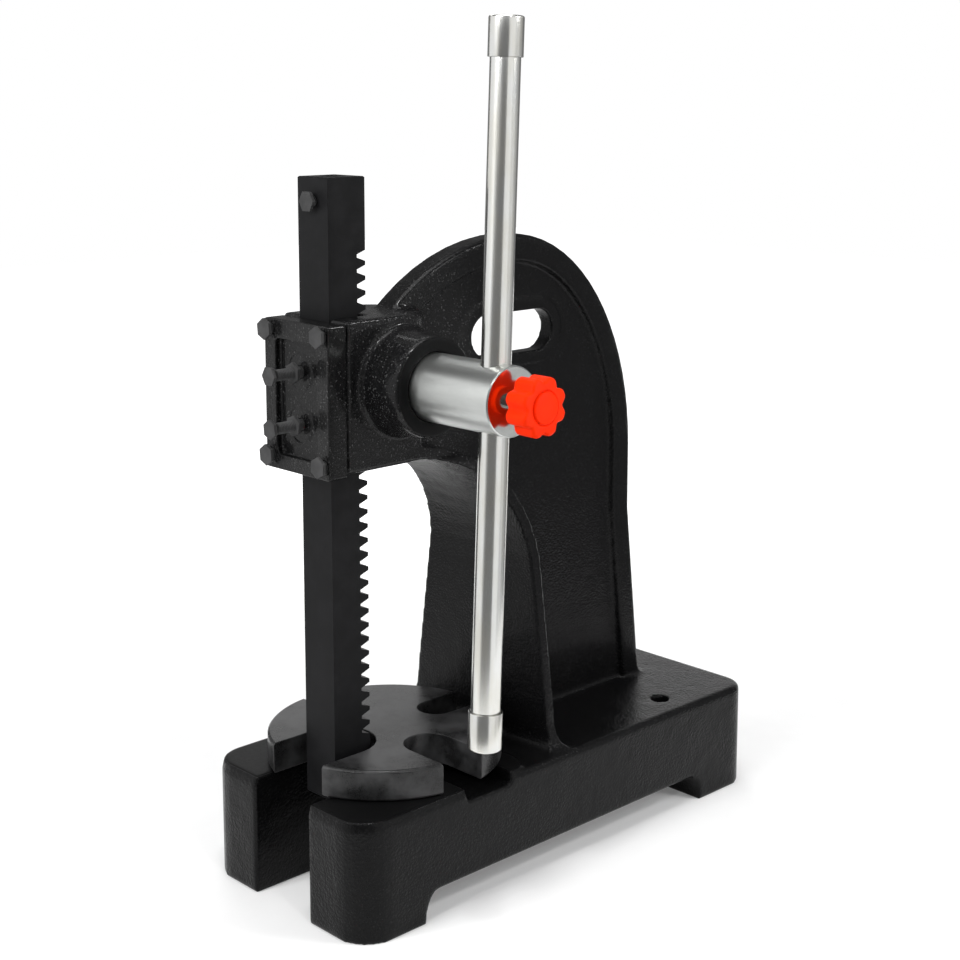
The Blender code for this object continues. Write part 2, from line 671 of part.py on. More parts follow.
def tooth_half_angle(radius):
    """Half the angle that a pinion tooth fills at a radius: an involute above the base circle."""
    rolled = math.acos(min(1, BASE_CIRCLE_RADIUS / radius))
    at_pitch = math.pi / 4 + PROFILE_SHIFT_SHARE * math.tan(PRESSURE_ANGLE)
    full = at_pitch * 2 / PINION_TEETH + math.tan(PRESSURE_ANGLE) - PRESSURE_ANGLE
    return full - (math.tan(rolled) - rolled) - FLANK_PLAY / radius


def tooth_space(number, first_angle):
    """Outline of the space after one pinion tooth, from outside the shaft down to the root."""
    before = first_angle + number * math.tau / PINION_TEETH
    after = before + math.tau / PINION_TEETH
    step = (SHAFT_RADIUS - BASE_CIRCLE_RADIUS) / FLANK_STEPS
    flank = [(SHAFT_RADIUS + OVERRUN, tooth_half_angle(SHAFT_RADIUS))]
    for i in range(FLANK_STEPS + 1):
        radius = SHAFT_RADIUS - i * step
        flank.append((radius, tooth_half_angle(radius)))
    root_angle = tooth_half_angle(BASE_CIRCLE_RADIUS)
    flank.append((ROOT_RADIUS, root_angle))
    polar = [(radius, before + angle) for radius, angle in flank]
    polar.append((ROOT_RADIUS, (before + after) / 2))
    polar += [(radius, after - angle) for radius, angle in reversed(flank)]
    return [(radius * math.cos(angle), radius * math.sin(angle)) for radius, angle in polar]


def pinion_phase():
    """Angle of the tooth that stands in the rack groove nearest the shaft."""
    nearest = round((PINION_HEIGHT - rack_groove_height(0)) / RACK_PITCH)
    return math.pi - (rack_groove_height(nearest) - PINION_HEIGHT) / PITCH_RADIUS


def pinion_shaft(turning, bar_axis):
    """The lever shaft, with its teeth, its journal, the cross bore for the bar and two tapped holes."""
    finish = material("bright steel shaft", (0.62, 0.62, 0.61), 0.24, 1)
    journal = JOURNAL_DIAMETER / 2
    profile = [
        (journal - SHAFT_CHAMFER, -JOURNAL_END),
        (journal, SHAFT_CHAMFER - JOURNAL_END),
        (journal, -PINION_HALF),
        (SHAFT_RADIUS, -PINION_HALF),
        (SHAFT_RADIUS, SHAFT_END - SHAFT_CHAMFER),
        (SHAFT_RADIUS - SHAFT_CHAMFER, SHAFT_END),
    ]
    made = piece("pinion_shaft", [turned("X", profile, SHAFT_SIDES)], turning, finish)
    phase = pinion_phase()
    start = -PINION_HALF - OVERRUN
    spaces = [prism("X", tooth_space(i, phase), start, PINION_HALF) for i in range(PINION_TEETH)]
    reach = SHAFT_RADIUS + OVERRUN
    cross = rod("Z", CAP_BORE_RADIUS, -reach, reach, BAR_SIDES)
    stud = rod("X", STUD_DIAMETER / 2 + RUN_GAP, BAR_X, SHAFT_END + OVERRUN, SCREW_SIDES)
    bolt_end = END_BOLT_GRIP + RUN_GAP - JOURNAL_END
    bolt = rod("X", END_BOLT_DIAMETER / 2 + RUN_GAP, -JOURNAL_END - OVERRUN, bolt_end, SCREW_SIDES)
    return cut(
        made,
        piece("tooth spaces", spaces, turning),
        piece("bar cross bore", [cross], bar_axis),
        piece("clamp stud hole", [stud], turning),
        piece("end bolt hole", [bolt], turning),
    )


def shaft_retainer(turning):
    """The washer and the bolt on the journal's end, which keep the shaft from moving out."""
    dark = material("black oxide fastener", (0.02, 0.02, 0.021), 0.4, 0.8)
    washer_end = -END_WASHER_SEAT - END_WASHER_THICKNESS
    chamfer = SHAFT_CHAMFER
    disc = rod("X", END_WASHER_RADIUS, washer_end, -END_WASHER_SEAT, SHAFT_SIDES, chamfer)
    washer = piece("retaining_washer", [disc], turning, dark)
    hole_radius = END_BOLT_DIAMETER / 2 + RUN_GAP
    hole = rod("X", hole_radius, washer_end - OVERRUN, OVERRUN - END_WASHER_SEAT, SCREW_SIDES)
    cut(washer, piece("washer hole", [hole], turning))
    hex_bolt("retaining_bolt", turning, dark, "X", -END_BOLT_SEAT, END_BOLT_FLATS, END_BOLT_HEAD_HEIGHT,
             END_BOLT_DIAMETER, END_BOLT_SEAT - JOURNAL_END + END_BOLT_GRIP)


def hex_bolt(name, parent, finish, axis, seat, flats, head_height, diameter, length, place=(0, 0)):
    """A hexagon bolt whose head lies on the low side of its seat and whose shank points up the axis."""
    top = head_height * HEX_CHAMFER_SHARE
    head_layers = [
        (seat - head_height, hexagon(flats - 2 * top)),
        (seat - head_height + top, hexagon(flats)),
        (seat, hexagon(flats)),
    ]
    shank = rod(axis, diameter / 2, seat - head_height / 2, seat + length, SCREW_SIDES)
    origin = on_axis(axis, [place], 0)[0]
    made = piece(name, [layered(axis, head_layers)], parent, finish, origin)
    return join(made, piece(name + " shank", [shank], parent, location=origin))


def lever_bar(bar_axis):
    """The sliding lever bar and the cup that closes each of its ends."""
    zinc = material("bright zinc bar", (0.66, 0.66, 0.65), 0.2, 1)
    half = BAR_LENGTH / 2
    radius = BAR_DIAMETER / 2
    bar = rod("Z", radius, BAR_OFFSET - half, BAR_OFFSET + half, BAR_SIDES, BAR_CHAMFER)
    piece("handle_bar", [bar], bar_axis, zinc)
    outer = CAP_BORE_RADIUS + CAP_WALL
    top = CAP_END_WALL + RUN_GAP
    steps = arc((0, 0), (CAP_ROUND, CAP_ROUND), 0, 90, ROUND_STEPS)
    for name, side in (("bar_cap_upper", 1), ("bar_cap_lower", -1)):
        crown = [(outer - CAP_ROUND + u, top - CAP_ROUND + v) for u, v in steps]
        profile = [
            (CAP_BORE_RADIUS, RUN_GAP),
            (CAP_BORE_RADIUS, top - CAP_LENGTH),
            (outer, top - CAP_LENGTH),
            *crown,
        ]
        placed = [(r, BAR_OFFSET + side * (half + along)) for r, along in profile]
        piece(name, [turned("Z", placed, BAR_SIDES)], bar_axis, zinc)


def lobed(radius, depth):
    """Outline of the knob: round, with a shallow scallop between every two lobes."""
    points = []
    count = KNOB_LOBES * LOBE_STEPS
    for i in range(count):
        angle = math.tau * i / count
        scallop = (1 + math.cos(KNOB_LOBES * angle)) / 2
        reach = radius - depth * scallop ** 2
        points.append((reach * math.cos(angle), reach * math.sin(angle)))
    return points


def clamp_knob(turning):
    """The lobed knob and its stud, screwed into the shaft's end against the bar."""
    orange = material("orange moulded knob", (0.86, 0.13, 0.035), 0.34, 0)
    steel = material("zinc stud", (0.55, 0.55, 0.54), 0.3, 1)
    origin = (KNOB_BACK, 0, 0)
    radius = KNOB_DIAMETER / 2
    neck = KNOB_NECK_DIAMETER / 2
    shoulder = KNOB_NECK_LENGTH
    face = KNOB_FACE - KNOB_BACK
    front = KNOB_FRONT - KNOB_BACK
    cap = KNOB_CAP_DIAMETER / 2
    edge = eased(shoulder, face, KNOB_ROUND, lambda inset: lobed(radius - inset, KNOB_LOBE_DEPTH))
    layers = [
        (0, lobed(neck, 0)),
        (shoulder, lobed(neck, 0)),
        *edge,
        (face, lobed(cap, 0)),
        (front, lobed(cap - KNOB_CAP_TAPER, 0)),
    ]
    knob = piece("clamp_knob", [layered("X", layers)], turning, orange, origin)
    socket_end = (shoulder + face) / 2
    socket = rod("X", STUD_DIAMETER / 2 + RUN_GAP, -OVERRUN, socket_end, SCREW_SIDES)
    cut(knob, piece("knob socket", [socket], turning, location=origin))
    stud = rod("X", STUD_DIAMETER / 2, STUD_TIP - KNOB_BACK, socket_end - RUN_GAP, SCREW_SIDES, SHAFT_CHAMFER)
    piece("clamp_stud", [stud], turning, steel, origin)


def front_cover(root):
    """The cover: a recessed panel with two screw bosses, and a pocket behind it for the gib."""
    finish = material("rough black paint on the cover", (0.013, 0.013, 0.014), 0.38, 0)
    half = HEAD_WIDTH / 2
    plate = rounded((-half, COVER_BOTTOM), (half, COVER_TOP), 4 * [COVER_CORNER])
    made = piece("front_cover", [prism("Y", plate, -COVER_FRONT, -COVER_BACK)], root, finish)
    low = (COVER_SIDE_BORDER - half, COVER_BOTTOM + COVER_FOOT_BORDER)
    high = (half - COVER_SIDE_BORDER, COVER_TOP - COVER_TOP_BORDER)
    panel = rounded(low, high, 4 * [PANEL_CORNER])
    recess = piece("cover panel", [prism("Y", panel, -COVER_FRONT - OVERRUN, -PANEL_FACE)], root)
    pad_radius = COVER_BOLT_PAD_DIAMETER / 2
    pads = []
    for place in cover_bolt_places():
        pads.append(rod("Y", pad_radius, -COVER_FRONT - 2 * OVERRUN, 0, SHAFT_SIDES, centre=place))
    cut(made, cut(recess, piece("cover bolt pads", pads, root)))
    radius = SCREW_BOSS_DIAMETER / 2
    behind = -(PANEL_FACE + GIB_POCKET_FACE) / 2
    bosses = []
    holes = []
    hole_radius = GIB_SCREW_DIAMETER / 2 + RUN_GAP
    for height in GIB_SCREW_HEIGHTS.values():
        place = (0, height)
        bosses.append(rod("Y", radius, -SCREW_BOSS_FACE, behind, SHAFT_SIDES, centre=place))
        holes.append(rod("Y", hole_radius, -SCREW_BOSS_FACE - OVERRUN, 0, SCREW_SIDES, centre=place))
    gap_half = gib_half_width() + RUN_GAP
    pocket = rectangle((-gap_half, gib_low() - RUN_GAP), (gap_half, gib_high() + RUN_GAP))
    cut(made, piece("gib pocket", [prism("Y", pocket, -GIB_POCKET_FACE, 0)], root))
    join(made, piece("screw bosses", bosses, root))
    bolt_radius = COVER_BOLT_DIAMETER / 2 + RUN_GAP
    for place in cover_bolt_places():
        holes.append(rod("Y", bolt_radius, -COVER_FRONT - OVERRUN, 0, SCREW_SIDES, centre=place))
    return cut(made, piece("cover holes", holes, root))


def gib_half_width():
    return RAM_SIDE / 2 - GIB_SIDE_INSET


def gib_low():
    return COVER_BOTTOM + GIB_END_INSET


def gib_high():
    return COVER_TOP - GIB_END_INSET


def gib_and_screws(root):
    """The gib strip in the cover's pocket, and the two locked screws that press it to the ram."""
    steel = material("ground gib steel", (0.3, 0.3, 0.3), 0.35, 1)
    dark = material("black oxide screw", (0.02, 0.02, 0.021), 0.36, 0.8)
    half = gib_half_width()
    strip = rectangle((-half, gib_low()), (half, gib_high()))
    piece("gib_strip", [prism("Y", strip, -GIB_FACE, -GIB_BACK)], root, steel)
    for name, height in GIB_SCREW_HEIGHTS.items():
        length = GIB_SCREW_SEAT - GIB_POCKET_FACE
        hex_bolt("gib_screw_" + name, root, dark, "Y", -GIB_SCREW_SEAT, GIB_SCREW_FLATS,
                 GIB_SCREW_HEAD_HEIGHT, GIB_SCREW_DIAMETER, length, (0, height))
        origin = (0, 0, height)
        chamfer = LOCK_NUT_HEIGHT * HEX_CHAMFER_SHARE
        face = -LOCK_NUT_SEAT - LOCK_NUT_HEIGHT
        layers = [
            (face, hexagon(LOCK_NUT_FLATS - 2 * chamfer)),
            (face + chamfer, hexagon(LOCK_NUT_FLATS)),
            (-LOCK_NUT_SEAT - chamfer, hexagon(LOCK_NUT_FLATS)),
            (-LOCK_NUT_SEAT, hexagon(LOCK_NUT_FLATS - 2 * chamfer)),
        ]
        nut = piece("lock_nut_" + name, [layered("Y", layers)], root, dark, origin)
        radius = GIB_SCREW_DIAMETER / 2 + RUN_GAP
        thread = rod("Y", radius, face - OVERRUN, OVERRUN - LOCK_NUT_SEAT, SCREW_SIDES)
        cut(nut, piece("nut thread", [thread], root, location=origin))


def front_bolts(root, sliding):
    """The four cover bolts, and the stop bolt that the ram carries."""
    dark = material("black oxide bolt", (0.02, 0.02, 0.021), 0.38, 0.8)
    seat = -COVER_FRONT - RUN_GAP
    length = COVER_BOLT_GRIP - CHANNEL_HALF - seat
    for number, place in enumerate(cover_bolt_places(), 1):
        hex_bolt(f"cover_bolt_{number}", root, dark, "Y", seat, COVER_BOLT_FLATS,
                 COVER_BOLT_HEAD_HEIGHT, COVER_BOLT_DIAMETER, length, place)
    place = (0, RAM_NOSE_HEIGHT + RAM_LENGTH - STOP_BOLT_DROP)
    hex_bolt("stop_bolt", sliding, dark, "Y", -RAM_SIDE / 2 - RUN_GAP, STOP_BOLT_FLATS,
             STOP_BOLT_HEAD_HEIGHT, STOP_BOLT_DIAMETER, STOP_BOLT_GRIP, place)


def turntable_plate(root):
    """The round plate with a notch on each side, and the hub that turns in the base's slot."""
    finish = material("dark machined plate", (0.05, 0.05, 0.052), 0.36, 0.9)
    origin = (0, PLATE_CENTRE_Y, PLATE_BOTTOM)
    disc = rod("Z", PLATE_RADIUS, 0, PLATE_THICKNESS, PLATE_SIDES, PLATE_CHAMFER)
    hub = rod("Z", SLOT_HALF - RUN_GAP, -HUB_DEPTH, PLATE_THICKNESS / 2, SHAFT_SIDES)
    made = piece("turntable_plate", [disc], root, finish, origin)
    join(made, piece("plate hub", [hub], root, location=origin))
    mouth = -PLATE_RADIUS - OVERRUN
    notches = [
        open_slot(RAM_NOTCH_HALF, mouth, -PLATE_CENTRE_Y),
        open_slot(SIDE_NOTCH_WIDTH / 2, mouth, -SIDE_NOTCH_REACH, 1),
        open_slot(BACK_NOTCH_WIDTH / 2, mouth, -BACK_NOTCH_REACH, 2),
        open_slot(SMALL_NOTCH_WIDTH / 2, mouth, -SMALL_NOTCH_REACH, 3),
    ]
    cutters = [prism("Z", notch, -HUB_DEPTH - OVERRUN, PLATE_THICKNESS + OVERRUN) for notch in notches]
    return cut(made, piece("plate notches", cutters, root, location=origin))


def main():
    for old in list(bpy.data.objects):
        bpy.data.objects.remove(old)
    root = empty("press", None, (RAM_AXIS_X, RAM_AXIS_Y, 0))
    sliding = empty("ram axis", root)
    turning = empty("pinion axis", root, (0, PINION_Y, PINION_HEIGHT))
    bar_axis = empty("bar axis", turning, (BAR_X, 0, 0), -BAR_TILT)
    frame_casting(root)
    ram(sliding)
    front_bolts(root, sliding)
    front_cover(root)
    gib_and_screws(root)
    pinion_shaft(turning, bar_axis)
    shaft_retainer(turning)
    lever_bar(bar_axis)
    clamp_knob(turning)
    turntable_plate(root)


main()
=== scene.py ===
"""Dresses the arbor press: cast, turned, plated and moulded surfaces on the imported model, and a white studio.

The sizes of the new pieces come from the boxes of the parts that they stand for.
"""

import json
import math

import bmesh
import bpy
from bpy.props import FloatProperty, FloatVectorProperty, IntProperty, PointerProperty
from mathutils import Euler, Matrix, Vector


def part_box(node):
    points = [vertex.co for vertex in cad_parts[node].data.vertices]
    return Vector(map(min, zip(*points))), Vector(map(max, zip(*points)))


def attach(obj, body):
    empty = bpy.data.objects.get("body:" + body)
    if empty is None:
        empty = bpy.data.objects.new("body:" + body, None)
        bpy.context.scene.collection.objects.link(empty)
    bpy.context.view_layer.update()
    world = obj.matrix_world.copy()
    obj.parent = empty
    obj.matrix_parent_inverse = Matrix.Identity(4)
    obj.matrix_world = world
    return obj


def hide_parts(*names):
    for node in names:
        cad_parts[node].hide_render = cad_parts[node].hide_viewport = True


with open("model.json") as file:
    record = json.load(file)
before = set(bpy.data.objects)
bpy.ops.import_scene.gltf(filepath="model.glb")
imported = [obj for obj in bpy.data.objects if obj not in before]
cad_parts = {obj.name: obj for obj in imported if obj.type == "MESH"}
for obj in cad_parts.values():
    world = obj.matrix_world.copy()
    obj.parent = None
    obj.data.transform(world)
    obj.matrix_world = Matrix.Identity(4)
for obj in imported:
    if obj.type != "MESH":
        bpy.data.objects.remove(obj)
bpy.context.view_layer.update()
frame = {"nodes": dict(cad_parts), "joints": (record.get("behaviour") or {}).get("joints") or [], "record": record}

bl_info = {
    "name": "Arbor press dressing",
    "version": (1, 0, 0),
    "blender": (4, 5, 0),
    "location": "View3D > Sidebar > Arbor press",
    "description": "Surfaces, fasteners and studio for a bench arbor press",
    "category": "Object",
}

MM = 0.001
JOINTS = {joint["name"]: joint for joint in frame["joints"]}
SHAFT_AXIS = Vector(JOINTS["pinion_turn"]["pos_m"])
BAR_DIRECTION = Vector(JOINTS["bar_slide"]["axis"]).normalized()
BODIES = frame["record"]["behaviour"]["bodies"]
SHARP_ANGLE = math.radians(32)
WELD_DISTANCE = 0.005 * MM
FLAT_ANGLE = math.radians(0.3)
LEVEL_ANGLE = math.radians(0.5)
MOST_TRIANGLES = 190000
ROUND_SIDES = 96
RUN_GAP = 0.3 * MM
TURNING_FEED = 0.35 * MM


def low(node):
    """A part's lowest corner."""
    return Vector(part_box(node)[0])


def high(node):
    """A part's highest corner."""
    return Vector(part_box(node)[1])


def middle(node):
    """The middle of a part's box."""
    return (low(node) + high(node)) / 2


def body_of(node):
    """The body that a part belongs to."""
    return next(body for body, nodes in BODIES.items() if node in nodes)


def length_property(name, description, default):
    return FloatProperty(name=name, description=description, unit="LENGTH", default=default)


def angle_property(name, description, default):
    return FloatProperty(name=name, description=description, subtype="ANGLE", default=default)


def power_property(name, description, default):
    return FloatProperty(name=name, description=description, unit="POWER", default=default)


def share_property(name, description, default):
    return FloatProperty(name=name, description=description, subtype="FACTOR", min=0, max=1, default=default)


def colour_property(name, description, default):
    return FloatVectorProperty(
        name=name, description=description, subtype="COLOR", size=3, min=0, max=1, default=default,
    )


class PRESS_PG_castings(bpy.types.PropertyGroup):
    """Rough black castings"""

    paint: colour_property("Paint", "Colour of the paint on the castings", (0.0035, 0.0035, 0.0037))
    grain: length_property("Grain", "Size of the pebbles under the paint", 1.9 * MM)
    grain_depth: length_property("Grain depth", "Height of the pebbles under the paint", 1.1 * MM)
    # Inside this reach the painted glints on the paint are also denser.
    rough_reach: length_property(
        "Rough reach", "Distance from the shaft to where the coarse sand of the head ends", 125 * MM,
    )
    # The specks are painted glints: pale spots added to the paint's colour that stand in for the lamps' glints on
    # the pebbles.
    painted_glint_level: share_property("Specks", "Brightness of the worn specks on the paint", 0.055)
    skin_grid: length_property("Skin grid", "Spacing of the grid that forms the casting's skin", 1.7 * MM)
    cover_grid: length_property("Cover grid", "Spacing of the grid that forms the cover's skin", 0.7 * MM)
    softness: IntProperty(
        name="Softness", description="Rounds of easing on the casting's edges", default=4, min=0,
    )
    pad_height: length_property("Pad height", "Height of the machined pads at the front of the base", 86 * MM)
    shaft_reach: length_property(
        "Shaft reach", "Length of the lever shaft outside the machined end of its boss", 73.5 * MM,
    )


class PRESS_PG_machined(bpy.types.PropertyGroup):
    """Ram, plate, gib and lever shaft"""

    ram_colour: colour_property("Ram", "Colour of the blackened ram", (0.0055, 0.0055, 0.006))
    plate_colour: colour_property("Plate", "Colour of the dark machined plate", (0.018, 0.018, 0.0185))
    shaft_colour: colour_property("Shaft", "Colour of the bright turned shaft", (0.60, 0.615, 0.60))
    gib_colour: colour_property("Gib", "Colour of the ground gib", (0.30, 0.30, 0.31))
    edge: length_property("Broken edge", "Width of the broken edges on machined parts", 0.35 * MM)
    plate_edge: length_property("Plate edge", "Width of the broken edges on the plate", 0.7 * MM)


class PRESS_PG_lever(bpy.types.PropertyGroup):
    """Lever bar, its cups, the clamp knob and its stud"""

    zinc: colour_property("Zinc", "Colour of the zinc plate", (0.72, 0.725, 0.71))
    bar_diameter: length_property("Bar", "Diameter of the lever bar", 20 * MM)
    cap_length: length_property("Cup", "Length of the cup on each end of the bar", 26 * MM)
    cap_wall: length_property("Cup wall", "Thickness of the cup's wall", 1.2 * MM)
    plastic: colour_property("Knob colour", "Colour of the moulded knob", (0.95, 0.027, 0.0005))
    lobes: IntProperty(name="Lobes", description="Number of lobes round the knob", default=8, min=3)
    lobe_depth: length_property("Lobe depth", "Depth of the hollows between the knob's lobes", 3.4 * MM)
    knob_round: length_property("Knob round", "Radius of the knob's edges", 2.6 * MM)
    knob_disc: length_property("Knob disc", "Diameter of the disc on the knob's face", 21 * MM)
    stud_pitch: length_property("Stud pitch", "Thread pitch of the clamp stud", 1.5 * MM)


class PRESS_PG_fasteners(bpy.types.PropertyGroup):
    """Hexagon bolts, screws and nuts"""

    black: colour_property("Black oxide", "Colour of the blackened fasteners", (0.040, 0.040, 0.0405))
    thread_pitch: length_property("Thread pitch", "Pitch of the threads on the screws", 1.25 * MM)
    chamfer: angle_property("Chamfer", "Slope of the cones that set a hexagon's thickness", math.radians(30))
    seed: IntProperty(name="Seed", description="Seed for how far round each bolt and nut stopped", default=3)


class PRESS_PG_studio(bpy.types.PropertyGroup):
    """Camera, floor and lamps"""

    camera_place: FloatVectorProperty(
        name="Camera", description="Place of the camera", subtype="TRANSLATION", size=3,
        default=(0.848595, -0.86751, 0.56750),
    )
    camera_azimuth: angle_property("Azimuth", "Turn of the camera from the front", math.radians(46.22))
    camera_dip: angle_property("Dip", "Angle at which the camera looks down", math.radians(8.56))
    lens: FloatProperty(name="Lens", description="Focal length in millimetres", unit="CAMERA", default=62.94)
    shift: FloatProperty(name="Shift", description="Upward shift of the camera's frame", default=-0.1458)
    key_power: power_property("Key", "Power of the main lamp", 15.0)
    fill_power: power_property("Fill", "Power of the lamp on the handle side", 10.0)
    top_power: power_property("Top", "Power of the lamp above", 7.0)
    back_power: power_property("Back", "Power of the lamp behind", 6.0)
    spark_power: power_property("Sparks", "Power of each small lamp that the paint glints in", 3.0)
    ambient: share_property("Ambient", "Strength of the light from all round", 0.2)
    floor_glow: share_property("Floor glow", "White that the camera adds to the floor by the press", 0.13)
    card_distance: length_property("Cards", "Distance of the ring of cards that the metal reflects", 0.5)


class Value:
    """A number or a colour that varies over a surface. Arithmetic on it adds nodes."""

    def __init__(self, graph, socket):
        self.graph = graph
        self.socket = socket

    def __add__(self, other):
        return self.graph.maths("ADD", self, other)

    def __radd__(self, other):
        return self.graph.maths("ADD", other, self)

    def __sub__(self, other):
        return self.graph.maths("SUBTRACT", self, other)

    def __rsub__(self, other):
        return self.graph.maths("SUBTRACT", other, self)

    def __mul__(self, other):
        return self.graph.maths("MULTIPLY", self, other)

    def __truediv__(self, other):
        return self.graph.maths("DIVIDE", self, other)

    def __neg__(self):
        return self.graph.maths("MULTIPLY", self, -1)


class Graph:
    """A node tree that grows one node at a time."""

    def __init__(self, tree):
        self.tree = tree

    def feed(self, socket, value):
        if isinstance(value, Value):
            value = value.socket
        if isinstance(value, bpy.types.NodeSocket):
            self.tree.links.new(value, socket)
        else:
            socket.default_value = value

    def add(self, kind, settings=None, inputs=None):
        """A node of a type, with its settings, and then the values or links of its sockets."""
        node = self.tree.nodes.new(kind)
        for name, value in (settings or {}).items():
            setattr(node, name, value)
        for name, value in (inputs or {}).items():
            self.feed(node.inputs[name], value)
        return node

    def maths(self, operation, *numbers):
        node = self.add("ShaderNodeMath", {"operation": operation}, dict(enumerate(numbers)))
        return Value(self, node.outputs[0])

    def vector_maths(self, operation, *vectors):
        return self.add("ShaderNodeVectorMath", {"operation": operation}, dict(enumerate(vectors)))

    def join_axes(self, x=0.0, y=0.0, z=0.0):
        return self.add("ShaderNodeCombineXYZ", inputs={0: x, 1: y, 2: z}).outputs[0]

    def split_axes(self, vector):
        outputs = self.add("ShaderNodeSeparateXYZ", inputs={0: vector}).outputs
        return [Value(self, output) for output in outputs]


class Recipe(Graph):
    """A procedural material on Object coordinates."""

    def __init__(self, name):
        self.material = bpy.data.materials.new(name)
        self.material.use_nodes = True
        super().__init__(self.material.node_tree)
        self.shader = self.tree.nodes["Principled BSDF"]
        self.place = self.add("ShaderNodeTexCoord").outputs["Object"]

    def about(self, centre, turn=(0, 0, 0), stretch=(1, 1, 1)):
        """Coordinates measured from a point, turned and then stretched."""
        moved = self.vector_maths("SUBTRACT", self.place, tuple(centre)).outputs[0]
        turned = self.add("ShaderNodeMapping", inputs={"Vector": moved, "Rotation": turn}).outputs[0]
        return self.vector_maths("MULTIPLY", turned, stretch).outputs[0]

    def noise(self, size, detail=2.0, roughness=0.5, vector=None):
        """Noise with features about size across, from 0 to 1."""
        inputs = {"Vector": vector or self.place, "Scale": 1 / size, "Detail": detail, "Roughness": roughness}
        return Value(self, self.add("ShaderNodeTexNoise", inputs=inputs).outputs["Fac"])

    def pebbles(self, size):
        """Rounded bumps about size across, high in the middle of each."""
        inputs = {"Vector": self.place, "Scale": 1 / size, "Smoothness": 0.35}
        cells = self.add("ShaderNodeTexVoronoi", {"feature": "SMOOTH_F1"}, inputs)
        return 1 - Value(self, cells.outputs["Distance"])

    def step(self, value, start, end):
        """0 before start, 1 after end and smooth between."""
        inputs = {"Value": value, "From Min": start, "From Max": end}
        node = self.add("ShaderNodeMapRange", {"interpolation_type": "SMOOTHSTEP"}, inputs)
        return Value(self, node.outputs[0])

    def mix(self, factor, first, second):
        inputs = {0: factor, 6: (*first, 1), 7: (*second, 1)}
        return Value(self, self.add("ShaderNodeMix", {"data_type": "RGBA"}, inputs).outputs[2])

    def bump(self, height, distance):
        inputs = {"Height": height, "Strength": 1.0, "Distance": distance}
        return self.add("ShaderNodeBump", inputs=inputs).outputs[0]

    def finish(self, **values):
        """Sets the shader's sockets, where an underscore stands for a space."""
        for name, value in values.items():
            self.feed(self.shader.inputs[name.replace("_", " ")], value)
        return self.material


def shade(tint, share):
    return [channel * share for channel in tint]


def machined_places(recipe, look):
    """1 on the base's machined pads and on the machined end of the shaft's boss, and 0 elsewhere."""
    x, y, z = recipe.split_axes(recipe.place)
    edge = 0.3 * MM
    above = recipe.step(z, look.pad_height - 2 * edge, look.pad_height - edge)
    ahead = recipe.step(high("turntable_plate").y - y, 0, edge)
    below = recipe.step(look.pad_height + 2 * edge - z, 0, edge)
    boss_end = high("pinion_shaft").x - look.shaft_reach
    outside = recipe.step(x, boss_end - 2 * edge, boss_end - edge)
    by_cover = recipe.step(z, low("front_cover").z - edge, low("front_cover").z)
    return recipe.maths("MAXIMUM", above * below * ahead, outside * by_cover)


def cast_paint(look, name, machined=False):
    """Thick glossy black paint over rough cast iron, smooth where the casting was machined, with painted glints as
    pale specks in its colour.
    """
    recipe = Recipe(name)
    grain = look.grain
    from_shaft = recipe.vector_maths("LENGTH", recipe.about(middle("pinion_shaft")))
    distance = Value(recipe, from_shaft.outputs["Value"])
    head = 1 - recipe.step(distance, look.rough_reach * 0.7, look.rough_reach)
    cast = 1 - machined_places(recipe, look) if machined else 1.0
    pools = recipe.noise(grain * 7, 2, 0.5)
    broad = recipe.noise(grain * 30, 3, 0.6)
    sand = (0.25 + recipe.step(broad, 0.36, 0.64) * 0.3 + head * 0.4) * cast
    pebbles = recipe.pebbles(grain)
    grit = recipe.noise(grain * 0.5, 3, 0.6)
    height = (pebbles * 0.6 + grit * 0.5) * sand + pools * (0.5 + head * 0.4) * cast
    # Painted glints: pebble crests and scattered spots lift the paint's colour to pale specks in place of the
    # lamps' glints, densest near the head.
    crests = recipe.step(pebbles, 0.6, 0.8) * recipe.step(recipe.noise(grain * 1.3, 2, 0.6), 0.5, 0.6)
    painted_glint = recipe.step(recipe.noise(grain * 0.5, 1, 0.4), 0.66, 0.74) * recipe.step(pools, 0.42, 0.6)
    specks = (crests * (head * 0.75 + 0.06) + painted_glint * (0.25 + head * 0.75)) * cast
    base = recipe.mix(specks, look.paint, [channel + look.painted_glint_level for channel in look.paint])
    gloss = 0.16 + recipe.noise(grain * 0.9, 2, 0.6) * 0.14 + (1 - cast) * 0.2
    normal = recipe.bump(height, look.grain_depth)
    return recipe.finish(
        Base_Color=base, Roughness=gloss, Normal=normal, Specular_IOR_Level=0.1,
        Coat_Weight=(0.06 + head * 0.24) * cast, Coat_Roughness=0.1,
    )


def blackened_steel(name, tint, stretch=(1, 1, 0.04), metallic=0.0):
    """Black oxide on ground steel: faint grinding lines under a thin grey bloom."""
    recipe = Recipe(name)
    lines = recipe.noise(0.5 * MM, 3, 0.6, recipe.about((0, 0, 0), stretch=stretch))
    bloom = recipe.noise(16 * MM, 4, 0.62)
    grit = recipe.noise(0.9 * MM, 2, 0.6)
    base = recipe.mix(recipe.step(bloom, 0.34, 0.72), tint, shade(tint, 1.6))
    gloss = 0.36 + bloom * 0.14 + lines * 0.12
    normal = recipe.bump(lines * 0.7 + grit * 0.3, 0.035 * MM)
    return recipe.finish(
        Base_Color=base, Roughness=gloss, Normal=normal, Metallic=metallic, Specular_IOR_Level=0.1,
    )


